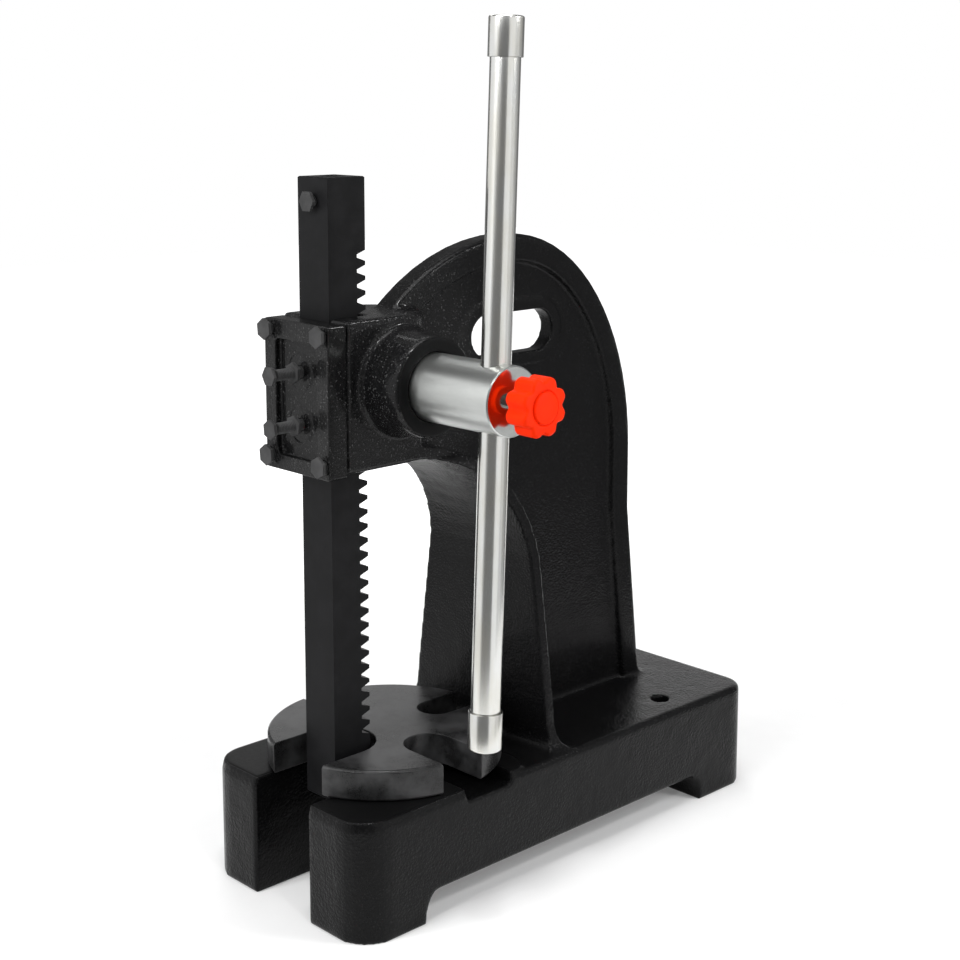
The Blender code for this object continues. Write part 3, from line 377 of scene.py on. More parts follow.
def machined_iron(name, tint):
    """Dark iron with the fine grit that a facing cutter leaves, and a few rubbed places."""
    recipe = Recipe(name)
    x, y, _ = recipe.split_axes(recipe.about(middle("turntable_plate")))
    radius = recipe.maths("SQRT", x * x + y * y)
    feed = 0.55 * MM
    rings = recipe.maths("SINE", radius * (math.tau / feed)) * 0.5 + 0.5
    cloud = recipe.noise(24 * MM, 4, 0.6)
    grit = recipe.noise(0.7 * MM, 3, 0.6)
    base = recipe.mix(recipe.step(cloud, 0.36, 0.66), shade(tint, 0.6), shade(tint, 2.4))
    gloss = 0.14 + cloud * 0.2 + grit * 0.12
    normal = recipe.bump(rings * 0.25 + grit * 0.75, 0.05 * MM)
    return recipe.finish(Base_Color=base, Roughness=gloss, Normal=normal, Specular_IOR_Level=0.35)


def turned_steel(name, tint, centre, pitch):
    """Bright steel turned about an axis along X: feed lines round it, a faint haze and a polished end."""
    recipe = Recipe(name)
    x, y, z = recipe.split_axes(recipe.about(centre))
    radius = recipe.maths("SQRT", y * y + z * z)
    lines = recipe.maths("SINE", (x + radius) * (math.tau / pitch)) * 0.5 + 0.5
    haze = recipe.noise(14 * MM, 4, 0.62, recipe.about(centre, stretch=(0.35, 1, 1)))
    streak = recipe.noise(1.4 * MM, 3, 0.6, recipe.about(centre, stretch=(7, 0.5, 0.5)))
    base = recipe.mix(recipe.step(haze, 0.3, 0.75), tint, shade(tint, 0.86))
    end = high("pinion_shaft").x - centre[0]
    faced = recipe.step(x, end - 0.2 * MM, end - 0.1 * MM)
    gloss = (0.20 + haze * 0.12 + streak * 0.10) * (1 - faced * 0.6)
    normal = recipe.bump((lines * 0.4 + streak * 0.6) * (1 - faced * 0.8), 0.02 * MM)
    return recipe.finish(Base_Color=base, Roughness=gloss, Normal=normal, Metallic=1.0)


def zinc_plate(name, tint):
    """Bright zinc over a drawn bar: lengthwise draw lines and a faint warm haze."""
    recipe = Recipe(name)
    tilt = math.atan2(BAR_DIRECTION.y, BAR_DIRECTION.z)
    drawn = recipe.noise(0.55 * MM, 3, 0.6, recipe.about(SHAFT_AXIS, (tilt, 0, 0), (1, 1, 0.02)))
    haze = recipe.noise(24 * MM, 3, 0.6, recipe.about(SHAFT_AXIS, (tilt, 0, 0), (2.2, 2.2, 0.5)))
    warm = [tint[0] * 0.93, tint[1] * 0.91, tint[2] * 0.86]
    base = recipe.mix(recipe.step(haze, 0.36, 0.7), tint, warm)
    gloss = 0.13 + haze * 0.10 + drawn * 0.06
    normal = recipe.bump(drawn, 0.02 * MM)
    return recipe.finish(Base_Color=base, Roughness=gloss, Normal=normal, Metallic=1.0)


def moulded_plastic(look):
    """Orange-red moulded plastic with a slight skin texture."""
    recipe = Recipe("moulded_plastic")
    skin = recipe.noise(1.6 * MM, 3, 0.5)
    cloud = recipe.noise(13 * MM, 2, 0.5)
    base = recipe.mix(recipe.step(cloud, 0.3, 0.7), look.plastic, shade(look.plastic, 0.9))
    gloss = 0.38 + skin * 0.14
    normal = recipe.bump(skin, 0.05 * MM)
    return recipe.finish(Base_Color=base, Roughness=gloss, Normal=normal, Specular_IOR_Level=0.04)


def smooth(mesh, angle=SHARP_ANGLE):
    mesh.shade_smooth()
    mesh.set_sharp_from_angle(angle=angle)
    return mesh


def add_piece(name, mesh, finish, nodes):
    """A finished piece that stands for one or more parts of one body."""
    mesh.name = name
    mesh.materials.clear()
    mesh.materials.append(finish)
    made = bpy.data.objects.new(name, mesh)
    bpy.context.scene.collection.objects.link(made)
    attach(made, body_of(nodes[0]))
    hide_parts(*nodes)
    return made


def merged(node):
    """A copy of a part's surface with its corners joined."""
    shape = bmesh.new()
    shape.from_mesh(frame["nodes"][node].data)
    bmesh.ops.remove_doubles(shape, verts=shape.verts, dist=WELD_DISTANCE)
    flat = [edge for edge in shape.edges if edge.calc_face_angle(math.pi) < FLAT_ANGLE]
    bmesh.ops.dissolve_limit(shape, angle_limit=LEVEL_ANGLE, verts=shape.verts, edges=flat)
    mesh = bpy.data.meshes.new(node)
    shape.to_mesh(mesh)
    shape.free()
    return mesh


def evaluated(mesh, build):
    """The mesh after the modifiers that build gives to an object made of it."""
    holder = bpy.data.objects.new("holder", mesh)
    bpy.context.scene.collection.objects.link(holder)
    build(holder)
    bpy.context.view_layer.update()
    graph = bpy.context.evaluated_depsgraph_get()
    result = bpy.data.meshes.new_from_object(holder.evaluated_get(graph), depsgraph=graph)
    bpy.data.objects.remove(holder)
    return result


def broken_edges(mesh, width, segments=2):
    """The mesh with its sharp edges bevelled."""

    def build(holder):
        bevel = holder.modifiers.new("broken edges", "BEVEL")
        bevel.width = width
        bevel.segments = segments
        bevel.limit_method = "ANGLE"
        bevel.angle_limit = SHARP_ANGLE
        bevel.miter_outer = "MITER_ARC"
        weighted = holder.modifiers.new("flat faces lead", "WEIGHTED_NORMAL")
        weighted.keep_sharp = False

    mesh.shade_smooth()
    return evaluated(mesh, build)


def cast_skin(node, grid, rounds):
    """A part's surface with the soft edges and fillets that sand moulding leaves."""

    def form(holder):
        remesh = holder.modifiers.new("skin", "REMESH")
        remesh.mode = "VOXEL"
        remesh.voxel_size = grid
        ease = holder.modifiers.new("eased edges", "SMOOTH")
        ease.factor = 0.5
        ease.iterations = rounds

    skin = evaluated(merged(node), form)
    skin.calc_loop_triangles()
    share = MOST_TRIANGLES / len(skin.loop_triangles)

    def thin(holder):
        fewer = holder.modifiers.new("fewer faces", "DECIMATE")
        fewer.ratio = min(1, share)

    thinned = evaluated(skin, thin)
    thinned.shade_smooth()
    return thinned


def loft(rings):
    """A closed mesh through rings of equal counts, with a flat cap on each end ring."""
    shape = bmesh.new()
    loops = [[shape.verts.new(point) for point in ring] for ring in rings]
    count = len(rings[0])
    for before, after in zip(loops, loops[1:]):
        for i in range(count):
            j = (i + 1) % count
            shape.faces.new((before[i], before[j], after[j], after[i]))
    shape.faces.new(loops[0][::-1])
    shape.faces.new(loops[-1])
    bmesh.ops.recalc_face_normals(shape, faces=shape.faces)
    mesh = bpy.data.meshes.new("loft")
    shape.to_mesh(mesh)
    shape.free()
    return smooth(mesh)


def axis_frame(origin, direction):
    """A matrix that carries +Z to a direction and the origin to a point."""
    turn = Vector(direction).to_track_quat("Z", "Y").to_matrix().to_4x4()
    return Matrix.Translation(origin) @ turn


def turned_rings(profile, place, sides):
    """Rings of a turned solid from (radius, place along the axis) pairs, set in place by a matrix."""
    rings = []
    for radius, along in profile:
        ring = []
        for i in range(sides):
            angle = math.tau * i / sides
            ring.append(place @ Vector((radius * math.cos(angle), radius * math.sin(angle), along)))
        rings.append(ring)
    return rings


def round_edge(radius, along, size, toward, steps=4):
    """Profile points of a rounded outer edge that ends at along, on the way to the axis."""
    points = []
    for i in range(steps + 1):
        angle = math.pi / 2 * i / steps
        points.append((radius - size + size * math.cos(angle), along - toward * size * (1 - math.sin(angle))))
    return points


HEX_SIDES = 6
SHANK_SIDES = 40
STUD_SIDES = 48
SPIRAL_STEPS = 22
# Shares of a thread's pitch: the ridge's radius, the core's depth, and the ridge's distance from each end.
RIDGE_SHARE = 0.44
CORE_SHARE = 0.5
BOLT_END_SHARE = 0.45
STUD_END_SHARE = 0.6


class Assembly(Graph):
    """A Geometry Nodes tree with named inputs, which ends in Realize Instances and Set Material."""

    def __init__(self, name, inputs):
        tree = bpy.data.node_groups.new(name, "GeometryNodeTree")
        super().__init__(tree)
        tree.interface.new_socket("Geometry", in_out="INPUT", socket_type="NodeSocketGeometry")
        self.identifiers = {}
        for label, kind in {**inputs, "Finish": "Material"}.items():
            socket = tree.interface.new_socket(label, in_out="INPUT", socket_type="NodeSocket" + kind)
            self.identifiers[label] = socket.identifier
        tree.interface.new_socket("Geometry", in_out="OUTPUT", socket_type="NodeSocketGeometry")
        self.inputs = self.add("NodeGroupInput").outputs
        self.result = self.add("NodeGroupOutput")

    def given(self, label):
        return Value(self, self.inputs[label])

    def drum(self, sides, radius, depth, lift):
        """A closed cylinder that starts at lift on the Z axis."""
        inputs = {"Vertices": sides, "Radius": radius, "Depth": depth}
        made = self.add("GeometryNodeMeshCylinder", {"fill_type": "NGON"}, inputs).outputs["Mesh"]
        return self.moved(made, self.join_axes(z=depth / 2 + lift))

    def cone(self, base, top, depth, lift):
        """A closed cone that starts at lift on the Z axis."""
        inputs = {"Vertices": ROUND_SIDES, "Radius Top": top, "Radius Bottom": base, "Depth": depth}
        made = self.add("GeometryNodeMeshCone", {"fill_type": "NGON"}, inputs).outputs["Mesh"]
        return self.moved(made, self.join_axes(z=lift))

    def moved(self, geometry, shift=(0, 0, 0), turn=(0, 0, 0)):
        inputs = {"Geometry": geometry, "Translation": shift, "Rotation": turn}
        return self.add("GeometryNodeTransform", inputs=inputs).outputs[0]

    def boolean(self, operation, first, *others):
        node = self.add("GeometryNodeMeshBoolean", {"operation": operation, "solver": "EXACT"})
        if operation == "DIFFERENCE":
            self.feed(node.inputs[0], first)
        for other in others if operation == "DIFFERENCE" else (first, *others):
            self.feed(node.inputs[1], other)
        return node.outputs[0]

    def together(self, *parts):
        node = self.add("GeometryNodeJoinGeometry")
        for part in parts:
            self.feed(node.inputs[0], part)
        return node.outputs[0]

    def thread(self, radius, length, pitch, lift):
        """A helical ridge round the Z axis."""
        spiral_inputs = {
            "Resolution": SPIRAL_STEPS, "Rotations": length / pitch,
            "Start Radius": radius, "End Radius": radius, "Height": length,
        }
        spiral = self.add("GeometryNodeCurveSpiral", inputs=spiral_inputs).outputs[0]
        upright = self.add("GeometryNodeSetCurveNormal", {"mode": "Z_UP"}, {"Curve": spiral}).outputs[0]
        ridge_inputs = {"Resolution": 4, "Radius": pitch * RIDGE_SHARE}
        ridge = self.add("GeometryNodeCurvePrimitiveCircle", inputs=ridge_inputs)
        swept_inputs = {"Curve": upright, "Profile Curve": ridge.outputs[0], "Fill Caps": True}
        swept = self.add("GeometryNodeCurveToMesh", inputs=swept_inputs).outputs[0]
        return self.moved(swept, self.join_axes(z=lift))

    def close(self, geometry):
        real = self.add("GeometryNodeRealizeInstances", inputs={"Geometry": geometry}).outputs[0]
        inputs = {"Geometry": real, "Material": self.inputs["Finish"]}
        self.feed(self.result.inputs[0], self.add("GeometryNodeSetMaterial", inputs=inputs).outputs[0])
        return self

    def on_points(self, geometry, turn, spread, seed):
        """The geometry on every point, turned, and spun about its own axis by a random share of spread."""
        random_inputs = {"Min": 0.0, "Max": spread, "Seed": seed}
        random = self.add("FunctionNodeRandomValue", {"data_type": "FLOAT"}, random_inputs)
        amount = next(output for output in random.outputs if output.enabled)
        spin_inputs = {"Axis": (0, 0, 1), "Angle": amount}
        spin = self.add("FunctionNodeAxisAngleToRotation", inputs=spin_inputs).outputs[0]
        whole = self.add("FunctionNodeEulerToRotation", inputs={0: turn}).outputs[0]
        space = {"rotation_space": "LOCAL"}
        rotation = self.add("FunctionNodeRotateRotation", space, {0: whole, 1: spin}).outputs[0]
        points = self.add("GeometryNodeMeshToPoints", inputs={"Mesh": self.inputs["Geometry"]}).outputs[0]
        inputs = {"Points": points, "Instance": geometry, "Rotation": rotation}
        return self.add("GeometryNodeInstanceOnPoints", inputs=inputs).outputs[0]

    def grow(self, points, values):
        """The mesh that the tree makes on a set of points."""
        seeds = bpy.data.meshes.new("seeds")
        seeds.from_pydata([tuple(point) for point in points], [], [])

        def build(holder):
            modifier = holder.modifiers.new("tree", "NODES")
            modifier.node_group = self.tree
            for label, value in values.items():
                modifier[self.identifiers[label]] = value

        return smooth(evaluated(seeds, build))


HEXAGON_INPUTS = {
    "Across Flats": "Float", "Height": "Float", "Slope": "Float", "Radius": "Float", "Length": "Float",
    "Thread Length": "Float", "Pitch": "Float", "Turn": "Vector", "Spread": "Float", "Seed": "Int",
}


def crowned_hexagon(tree, both_faces):
    """The outer slice of a hexagon prism that stands on z = 0, half the cones' rise thick.

    The cones are wider than the corners wherever they meet the slice, so they leave its corners sharp.
    """
    flats, height = map(tree.given, ("Across Flats", "Height"))
    slope = tree.maths("TANGENT", tree.given("Slope"))
    prism = tree.drum(HEX_SIDES, flats / math.sqrt(3), height, 0)
    flank = flats * 0.475
    reach = flats * 0.6
    rise = reach * slope
    overrun = 0.0005
    upper = tree.cone(flank + reach, flank, rise, height - rise / 2 + height * overrun)
    upper_body = tree.boolean("INTERSECT", prism, upper)
    if not both_faces:
        return upper_body
    lower = tree.cone(flank, flank + reach, rise, rise / 2 - height * overrun)
    return tree.boolean("INTERSECT", upper_body, lower)


def bolt_tree():
    """A hexagon bolt on each point: its shank inside, and outside its head, which stands off the shank."""
    tree = Assembly("hexagon bolts", HEXAGON_INPUTS)
    radius, length, thread_length, pitch = map(tree.given, ("Radius", "Length", "Thread Length", "Pitch"))
    head = crowned_hexagon(tree, False)
    shank = tree.drum(SHANK_SIDES, radius - pitch * CORE_SHARE, length, -length)
    overlap = 0.001 * MM
    collar = tree.drum(SHANK_SIDES, radius, length - thread_length + overlap, thread_length - length)
    run = thread_length - pitch * (2 * BOLT_END_SHARE)
    thread = tree.thread(radius - pitch * RIDGE_SHARE, run, pitch, pitch * BOLT_END_SHARE - length)
    whole = tree.together(head, shank, collar, thread)
    return tree.close(tree.on_points(whole, tree.inputs["Turn"], tree.inputs["Spread"], tree.inputs["Seed"]))


def nut_tree():
    """A hexagon nut on each point, at the outer end of its height."""
    tree = Assembly("hexagon nuts", HEXAGON_INPUTS)
    body = crowned_hexagon(tree, True)
    height = tree.given("Height")
    bore = tree.drum(SHANK_SIDES, tree.given("Radius"), height * 3, -height)
    bored = tree.boolean("DIFFERENCE", body, bore)
    return tree.close(tree.on_points(bored, tree.inputs["Turn"], tree.inputs["Spread"], tree.inputs["Seed"]))


def stud_tree():
    """A threaded stud on each point, running out along its own +Z."""
    inputs = {"Radius": "Float", "Length": "Float", "Pitch": "Float", "Turn": "Vector"}
    tree = Assembly("threaded studs", inputs)
    radius, length, pitch = map(tree.given, ("Radius", "Length", "Pitch"))
    core = tree.drum(STUD_SIDES, radius - pitch * CORE_SHARE, length, 0)
    run = length - pitch * (2 * STUD_END_SHARE)
    thread = tree.thread(radius - pitch * RIDGE_SHARE, run, pitch, pitch * STUD_END_SHARE)
    placed = tree.on_points(tree.together(core, thread), tree.inputs["Turn"], 0.0, 0)
    return tree.close(placed)


# Turns that bring +Z to each direction.
FACING = {"-Y": (math.pi / 2, 0, 0), "-X": (0, -math.pi / 2, 0), "+X": (0, math.pi / 2, 0)}


class PRESS_OT_castings(bpy.types.Operator):
    """Give the frame and the cover their cast skins and their rough black paint"""

    bl_idname = "press.castings"
    bl_label = "Castings"

    def execute(self, context):
        look = context.scene.press_castings
        frame_skin = cast_skin("frame_casting", look.skin_grid, look.softness)
        cover_skin = cast_skin("front_cover", look.cover_grid, look.softness)
        add_piece("frame_skin", frame_skin, cast_paint(look, "cast_paint", machined=True), ["frame_casting"])
        add_piece("cover_skin", cover_skin, cast_paint(look, "cover_paint"), ["front_cover"])
        return {"FINISHED"}


class PRESS_OT_ram(bpy.types.Operator):
    """Give the ram its broken edges and its black oxide"""

    bl_idname = "press.ram"
    bl_label = "Ram"

    def execute(self, context):
        look = context.scene.press_machined
        mesh = broken_edges(merged("ram"), look.edge)
        add_piece("ram_surface", mesh, blackened_steel("ram_oxide", look.ram_colour), ["ram"])
        return {"FINISHED"}


class PRESS_OT_gib(bpy.types.Operator):
    """Give the gib its broken edges and its ground finish"""

    bl_idname = "press.gib"
    bl_label = "Gib"

    def execute(self, context):
        look = context.scene.press_machined
        mesh = broken_edges(merged("gib_strip"), look.edge)
        finish = blackened_steel("ground_gib", look.gib_colour, metallic=1.0)
        add_piece("gib_surface", mesh, finish, ["gib_strip"])
        return {"FINISHED"}


class PRESS_OT_plate(bpy.types.Operator):
    """Give the turning plate its broken edges and its machined iron"""

    bl_idname = "press.plate"
    bl_label = "Turning plate"

    def execute(self, context):
        look = context.scene.press_machined
        mesh = broken_edges(merged("turntable_plate"), look.plate_edge, 3)
        finish = machined_iron("machined_iron", look.plate_colour)
        add_piece("plate_surface", mesh, finish, ["turntable_plate"])
        return {"FINISHED"}


class PRESS_OT_shaft(bpy.types.Operator):
    """Give the lever shaft and its washer their broken edges and turned finish"""

    bl_idname = "press.shaft"
    bl_label = "Lever shaft"

    def execute(self, context):
        look = context.scene.press_machined
        fasteners = context.scene.press_fasteners
        mesh = broken_edges(merged("pinion_shaft"), look.edge)
        finish = turned_steel("turned_steel", look.shaft_colour, SHAFT_AXIS, TURNING_FEED)
        add_piece("shaft_surface", mesh, finish, ["pinion_shaft"])
        washer = broken_edges(merged("retaining_washer"), look.edge)
        oxide = blackened_steel("washer_oxide", fasteners.black, stretch=(1, 1, 1))
        add_piece("washer_surface", washer, oxide, ["retaining_washer"])
        return {"FINISHED"}


BAR_EDGE = 1 * MM
CUP_FLOOR = 4 * MM
CUP_CROWN = 1.5 * MM
# Radius at which the cup's inner floor closes.
CUP_CENTRE = 0.5 * MM
CUP_LIP = 0.5 * MM
# Middle of the lip's curve, in from the wall and up from the rim.
LIP_IN = 0.12 * MM
LIP_UP = 0.15 * MM


class PRESS_OT_bar(bpy.types.Operator):
    """Make the round lever bar and the zinc cup on each end of it"""

    bl_idname = "press.bar"
    bl_label = "Lever bar"

    def execute(self, context):
        look = context.scene.press_lever
        zinc = zinc_plate("bright_zinc", look.zinc)
        place = axis_frame(middle("handle_bar"), BAR_DIRECTION)
        radius = look.bar_diameter / 2
        extent = high("handle_bar") - low("handle_bar")
        half = (extent.z - look.bar_diameter * abs(BAR_DIRECTION.y)) / BAR_DIRECTION.z / 2
        profile = [
            *reversed(round_edge(radius, -half, BAR_EDGE, -1)),
            *round_edge(radius, half, BAR_EDGE, 1),
        ]
        add_piece("lever_bar", loft(turned_rings(profile, place, ROUND_SIDES)), zinc, ["handle_bar"])
        outer = radius + RUN_GAP + look.cap_wall
        inside = look.cap_length - CUP_FLOOR
        cup = [
            (CUP_CENTRE, inside),
            (radius + RUN_GAP, inside),
            (radius + RUN_GAP, 0),
            (outer - CUP_LIP, 0),
            (outer - LIP_IN, LIP_UP),
            (outer, CUP_LIP),
            *round_edge(outer, look.cap_length, CUP_CROWN, 1, 6),
        ]
        for side, node in ((1, "bar_cap_upper"), (-1, "bar_cap_lower")):
            outward = BAR_DIRECTION * side
            cup_place = axis_frame(middle(node) - outward * look.cap_length / 2, outward)
            mesh = loft(turned_rings(cup, cup_place, ROUND_SIDES))
            add_piece(node.replace("bar_cap", "zinc_cup"), mesh, zinc, [node])
        return {"FINISHED"}


KNOB_REACH = 20 * MM
KNOB_NECK = 9 * MM
KNOB_SHOULDER = 4 * MM
DISC_HEIGHT = 1.2 * MM
DISC_GROOVE = 0.7 * MM
# The neck's flare below the shoulder: where it starts, where it ends, and how far it opens.
FLARE_START = 0.6 * MM
FLARE_END = 0.15 * MM
FLARE_WIDTH = 0.4 * MM
ROUND_STEPS = 7
LOBE_STEPS = 24
HOLLOW_POWER = 1.6


def knob_outline(look, reach, depth):
    """The knob's outline: round lobes with a rounded hollow between every two."""
    points = []
    count = look.lobes * LOBE_STEPS
    for i in range(count):
        angle = math.tau * i / count
        hollow = ((1 + math.cos(look.lobes * angle)) / 2) ** HOLLOW_POWER
        radius = reach - depth * hollow
        points.append((radius * math.cos(angle), radius * math.sin(angle)))
    return points


class PRESS_OT_knob(bpy.types.Operator):
    """Make the lobed clamp knob and its threaded stud"""

    bl_idname = "press.knob"
    bl_label = "Clamp knob"

    def execute(self, context):
        look = context.scene.press_lever
        back = low("clamp_knob").x
        front = high("clamp_knob").x
        shoulder = back + KNOB_SHOULDER
        face = front - DISC_HEIGHT
        ease = look.knob_round
        disc = look.knob_disc / 2
        groove = DISC_GROOVE
        sections = [
            (back, KNOB_NECK, 0),
            (shoulder - FLARE_START, KNOB_NECK, 0),
            (shoulder - FLARE_END, KNOB_NECK + FLARE_WIDTH, 0),
        ]
        quarter = [math.pi / 2 * i / ROUND_STEPS for i in range(ROUND_STEPS + 1)]
        for angle in quarter:
            reach = KNOB_REACH - ease * (1 - math.sin(angle))
            sections.append((shoulder + ease * (1 - math.cos(angle)), reach, look.lobe_depth))
        for angle in quarter:
            reach = KNOB_REACH - ease * (1 - math.cos(angle))
            sections.append((face - ease * (1 - math.sin(angle)), reach, look.lobe_depth))
        sections += [
            (face, disc + 2 * groove, 0),
            (face - 0.4 * groove, disc + 1.5 * groove, 0),
            (face - groove, disc + 0.8 * groove, 0),
            (face - groove, disc + 0.3 * groove, 0),
            (front - groove, disc, 0),
            (front - 0.3 * groove, disc - 0.3 * groove, 0),
            (front, disc - groove, 0),
            (front, disc * 0.5, 0),
        ]
        rings = []
        for along, reach, depth in sections:
            outline = knob_outline(look, reach, depth)
            rings.append([(along, SHAFT_AXIS.y + u, SHAFT_AXIS.z + v) for u, v in outline])
        add_piece("lobed_knob", loft(rings), moulded_plastic(look), ["clamp_knob"])
        start = low("clamp_stud")
        end = high("clamp_stud")
        values = {
            "Radius": (end.z - start.z) / 2,
            "Length": end.x - start.x,
            "Pitch": look.stud_pitch,
            "Turn": FACING["+X"],
        }
        seat = Vector((start.x, SHAFT_AXIS.y, SHAFT_AXIS.z))
        stud = stud_tree().grow([seat], values)
        finish = turned_steel("stud_zinc", shade(look.zinc, 0.8), SHAFT_AXIS, look.stud_pitch)
        add_piece("threaded_stud", stud, finish, ["clamp_stud"])
        return {"FINISHED"}


# Heights of the heads' outer faces over their seats.
COVER_HEAD = 5.3 * MM
SCREW_HEAD = 5.5 * MM
END_HEAD = 6.4 * MM
# Radii of the shanks, and the most that bolts and nuts are turned by.
SCREW_RADIUS = 4 * MM
END_RADIUS = 5 * MM
BOLT_SPREAD = math.radians(40)
NUT_SPREAD = math.radians(30)

# Bolts at the front: piece, its parts, height of the outer face, threaded share of the shank, and spread.
FRONT_BOLTS = (
    ("cover_bolts", [f"cover_bolt_{i}" for i in range(1, 5)], COVER_HEAD, 0.5, BOLT_SPREAD),
    ("ram_stop_bolt", ["stop_bolt"], SCREW_HEAD, 0.5, 0.0),
    ("upper_gib_screw", ["gib_screw_upper"], SCREW_HEAD, 1.0, 0.0),
    ("lower_gib_screw", ["gib_screw_lower"], SCREW_HEAD, 1.0, BOLT_SPREAD),
)


def hexagon_values(look, node, facing, radius, height, thread_share, spread):
    """Values of a bolt or nut tree from a part's box, with the outer face at a height over the seat."""
    size = high(node) - low(node)
    axis = "XYZ".index(facing[1])
    length = size[axis] - height
    return {
        "Across Flats": size.x if facing[1] == "Y" else size.y, "Height": height, "Slope": look.chamfer,
        "Radius": radius, "Length": length, "Thread Length": length * thread_share,
        "Pitch": look.thread_pitch, "Turn": FACING[facing], "Spread": spread, "Seed": look.seed,
    }


def front_seats(nodes, height):
    """The points on the axes of parts that face the front where their seats lie."""
    return [Vector((middle(node).x, low(node).y + height, middle(node).z)) for node in nodes]


class PRESS_OT_fasteners(bpy.types.Operator):
    """Make the hexagon bolts, the gib screws and their nuts"""

    bl_idname = "press.fasteners"
    bl_label = "Fasteners"

    def execute(self, context):
        look = context.scene.press_fasteners
        oxide = blackened_steel("fastener_oxide", look.black, stretch=(1, 1, 1))
        bolts = bolt_tree()
        nuts = nut_tree()
        for name, nodes, height, thread_share, spread in FRONT_BOLTS:
            values = hexagon_values(look, nodes[0], "-Y", SCREW_RADIUS, height, thread_share, spread)
            add_piece(name, bolts.grow(front_seats(nodes, height), values), oxide, nodes)
        nodes = ["lock_nut_upper", "lock_nut_lower"]
        height = high(nodes[0]).y - low(nodes[0]).y
        values = hexagon_values(look, nodes[0], "-Y", SCREW_RADIUS, height, 0.5, NUT_SPREAD)
        add_piece("lock_nuts", nuts.grow(front_seats(nodes, height), values), oxide, nodes)
        node = "retaining_bolt"
        seat = Vector((low(node).x + END_HEAD, middle(node).y, middle(node).z))
        values = hexagon_values(look, node, "-X", END_RADIUS, END_HEAD, 0.6, 0.0)
        add_piece("end_bolt", bolts.grow([seat], values), oxide, [node])
        return {"FINISHED"}


FLOOR_REACH = 4
FLOOR_DEPTH = 0.02
FLOOR_TONES = ((0.8, 0.8, 0.8), (0.83, 0.83, 0.83))
FLOOR_GRAIN = 25 * MM
# Distances from the press between which the floor's glow grows to white.
GLOW_START = 0.4
GLOW_END = 1.3
CEILING_HEIGHT = 1.75
CEILING_REACH = 2.2
CEILING_TONE = 0.2
CARD_STEPS = 12
TARGET = Vector((0, -0.05, 0.28))
SPARK_SIZE = (0.09, 0.09)

# Lamps: name, place from the target (away from the camera, to its right, up), width and height, and power.
LAMPS = (
    ("key", (-0.75, -1.05, 0.75), (0.5, 0.9), "key_power"),
    ("fill", (-0.35, 1.25, 0.35), (0.3, 1.1), "fill_power"),
    ("top", (-0.1, 0.0, 1.3), (0.9, 0.9), "top_power"),
    ("spark_1", (-1.2, -0.7, 0.9), SPARK_SIZE, "spark_power"),
    ("spark_2", (-1.1, 0.5, 1.0), SPARK_SIZE, "spark_power"),
    ("spark_3", (-0.1, 1.3, 0.9), SPARK_SIZE, "spark_power"),
    ("spark_4", (-0.5, 0.0, 1.45), SPARK_SIZE, "spark_power"),
    ("back", (1.1, -0.3, 0.9), (0.8, 0.5), "back_power"),
)

# Ring of cards: start and end bearing in degrees, foot and top in metres, and tone.
RING_CARDS = (
    (-135, -112, 0, 0.9, 0.2),
    (-112, -45, 0, 0.7, 1.0),
    (-45, -38, 0, 0.7, 0.5),
    (-38, 12, 0, 0.7, 0.2),
    (12, 45, 0, 0.7, 1.0),
    (45, 75, 0, 0.7, 0.65),
    (75, 112, 0, 0.7, 0.4),
    (112, 135, 0, 0.9, 0.2),
    (135, 225, 0.37, 0.9, 0.17),
)


def lamp(name, place, size, power):
    """A soft oblong lamp that faces the target."""
    light = bpy.data.lights.new(name, "AREA")
    light.shape = "RECTANGLE"
    light.size, light.size_y = size
    light.energy = power
    made = bpy.data.objects.new(name, light)
    made.location = place
    made.rotation_euler = (TARGET - place).to_track_quat("-Z", "Y").to_euler()
    bpy.context.scene.collection.objects.link(made)


def square(reach, z):
    """The corners of a level square about the Z axis."""
    return [(-reach, -reach, z), (reach, -reach, z), (reach, reach, z), (-reach, reach, z)]


def straight_rays(graph):
    """1 for camera, transmission and glossy rays, and 0 for diffuse and shadow rays."""
    paths = graph.add("ShaderNodeLightPath").outputs
    seen = graph.maths("MAXIMUM", paths["Is Camera Ray"], paths["Is Transmission Ray"])
    return graph.maths("MAXIMUM", seen, paths["Is Glossy Ray"])


def white_floor(look):
    """White to the camera, to gloss and to glass, with the object's shadow kept."""
    recipe = Recipe("white_floor")
    tone = recipe.mix(recipe.noise(FLOOR_GRAIN), *FLOOR_TONES)
    x, y, _ = recipe.split_axes(recipe.place)
    away = recipe.maths("SQRT", x * x + y * y)
    glow = look.floor_glow + recipe.step(away, GLOW_START, GLOW_END) * (1 - look.floor_glow)
    return recipe.finish(
        Base_Color=tone, Roughness=0.9, Specular_IOR_Level=0.0,
        Emission_Color=(1, 1, 1, 1), Emission_Strength=straight_rays(recipe) * glow,
    )


def card(name, points, faces, tone):
    """A card of one tone that only reflections see."""
    mesh = bpy.data.meshes.new(name)
    mesh.from_pydata(points, [], faces)
    material = bpy.data.materials.new(name)
    material.use_nodes = True
    graph = Graph(material.node_tree)
    glow = graph.add("ShaderNodeEmission", inputs={"Color": (tone, tone, tone, 1)})
    graph.feed(graph.tree.nodes["Material Output"].inputs["Surface"], glow.outputs[0])
    mesh.materials.append(material)
    made = bpy.data.objects.new(name, mesh)
    bpy.context.scene.collection.objects.link(made)
    made.visible_camera = False
    made.visible_diffuse = False
    made.visible_shadow = False
    made.visible_transmission = False


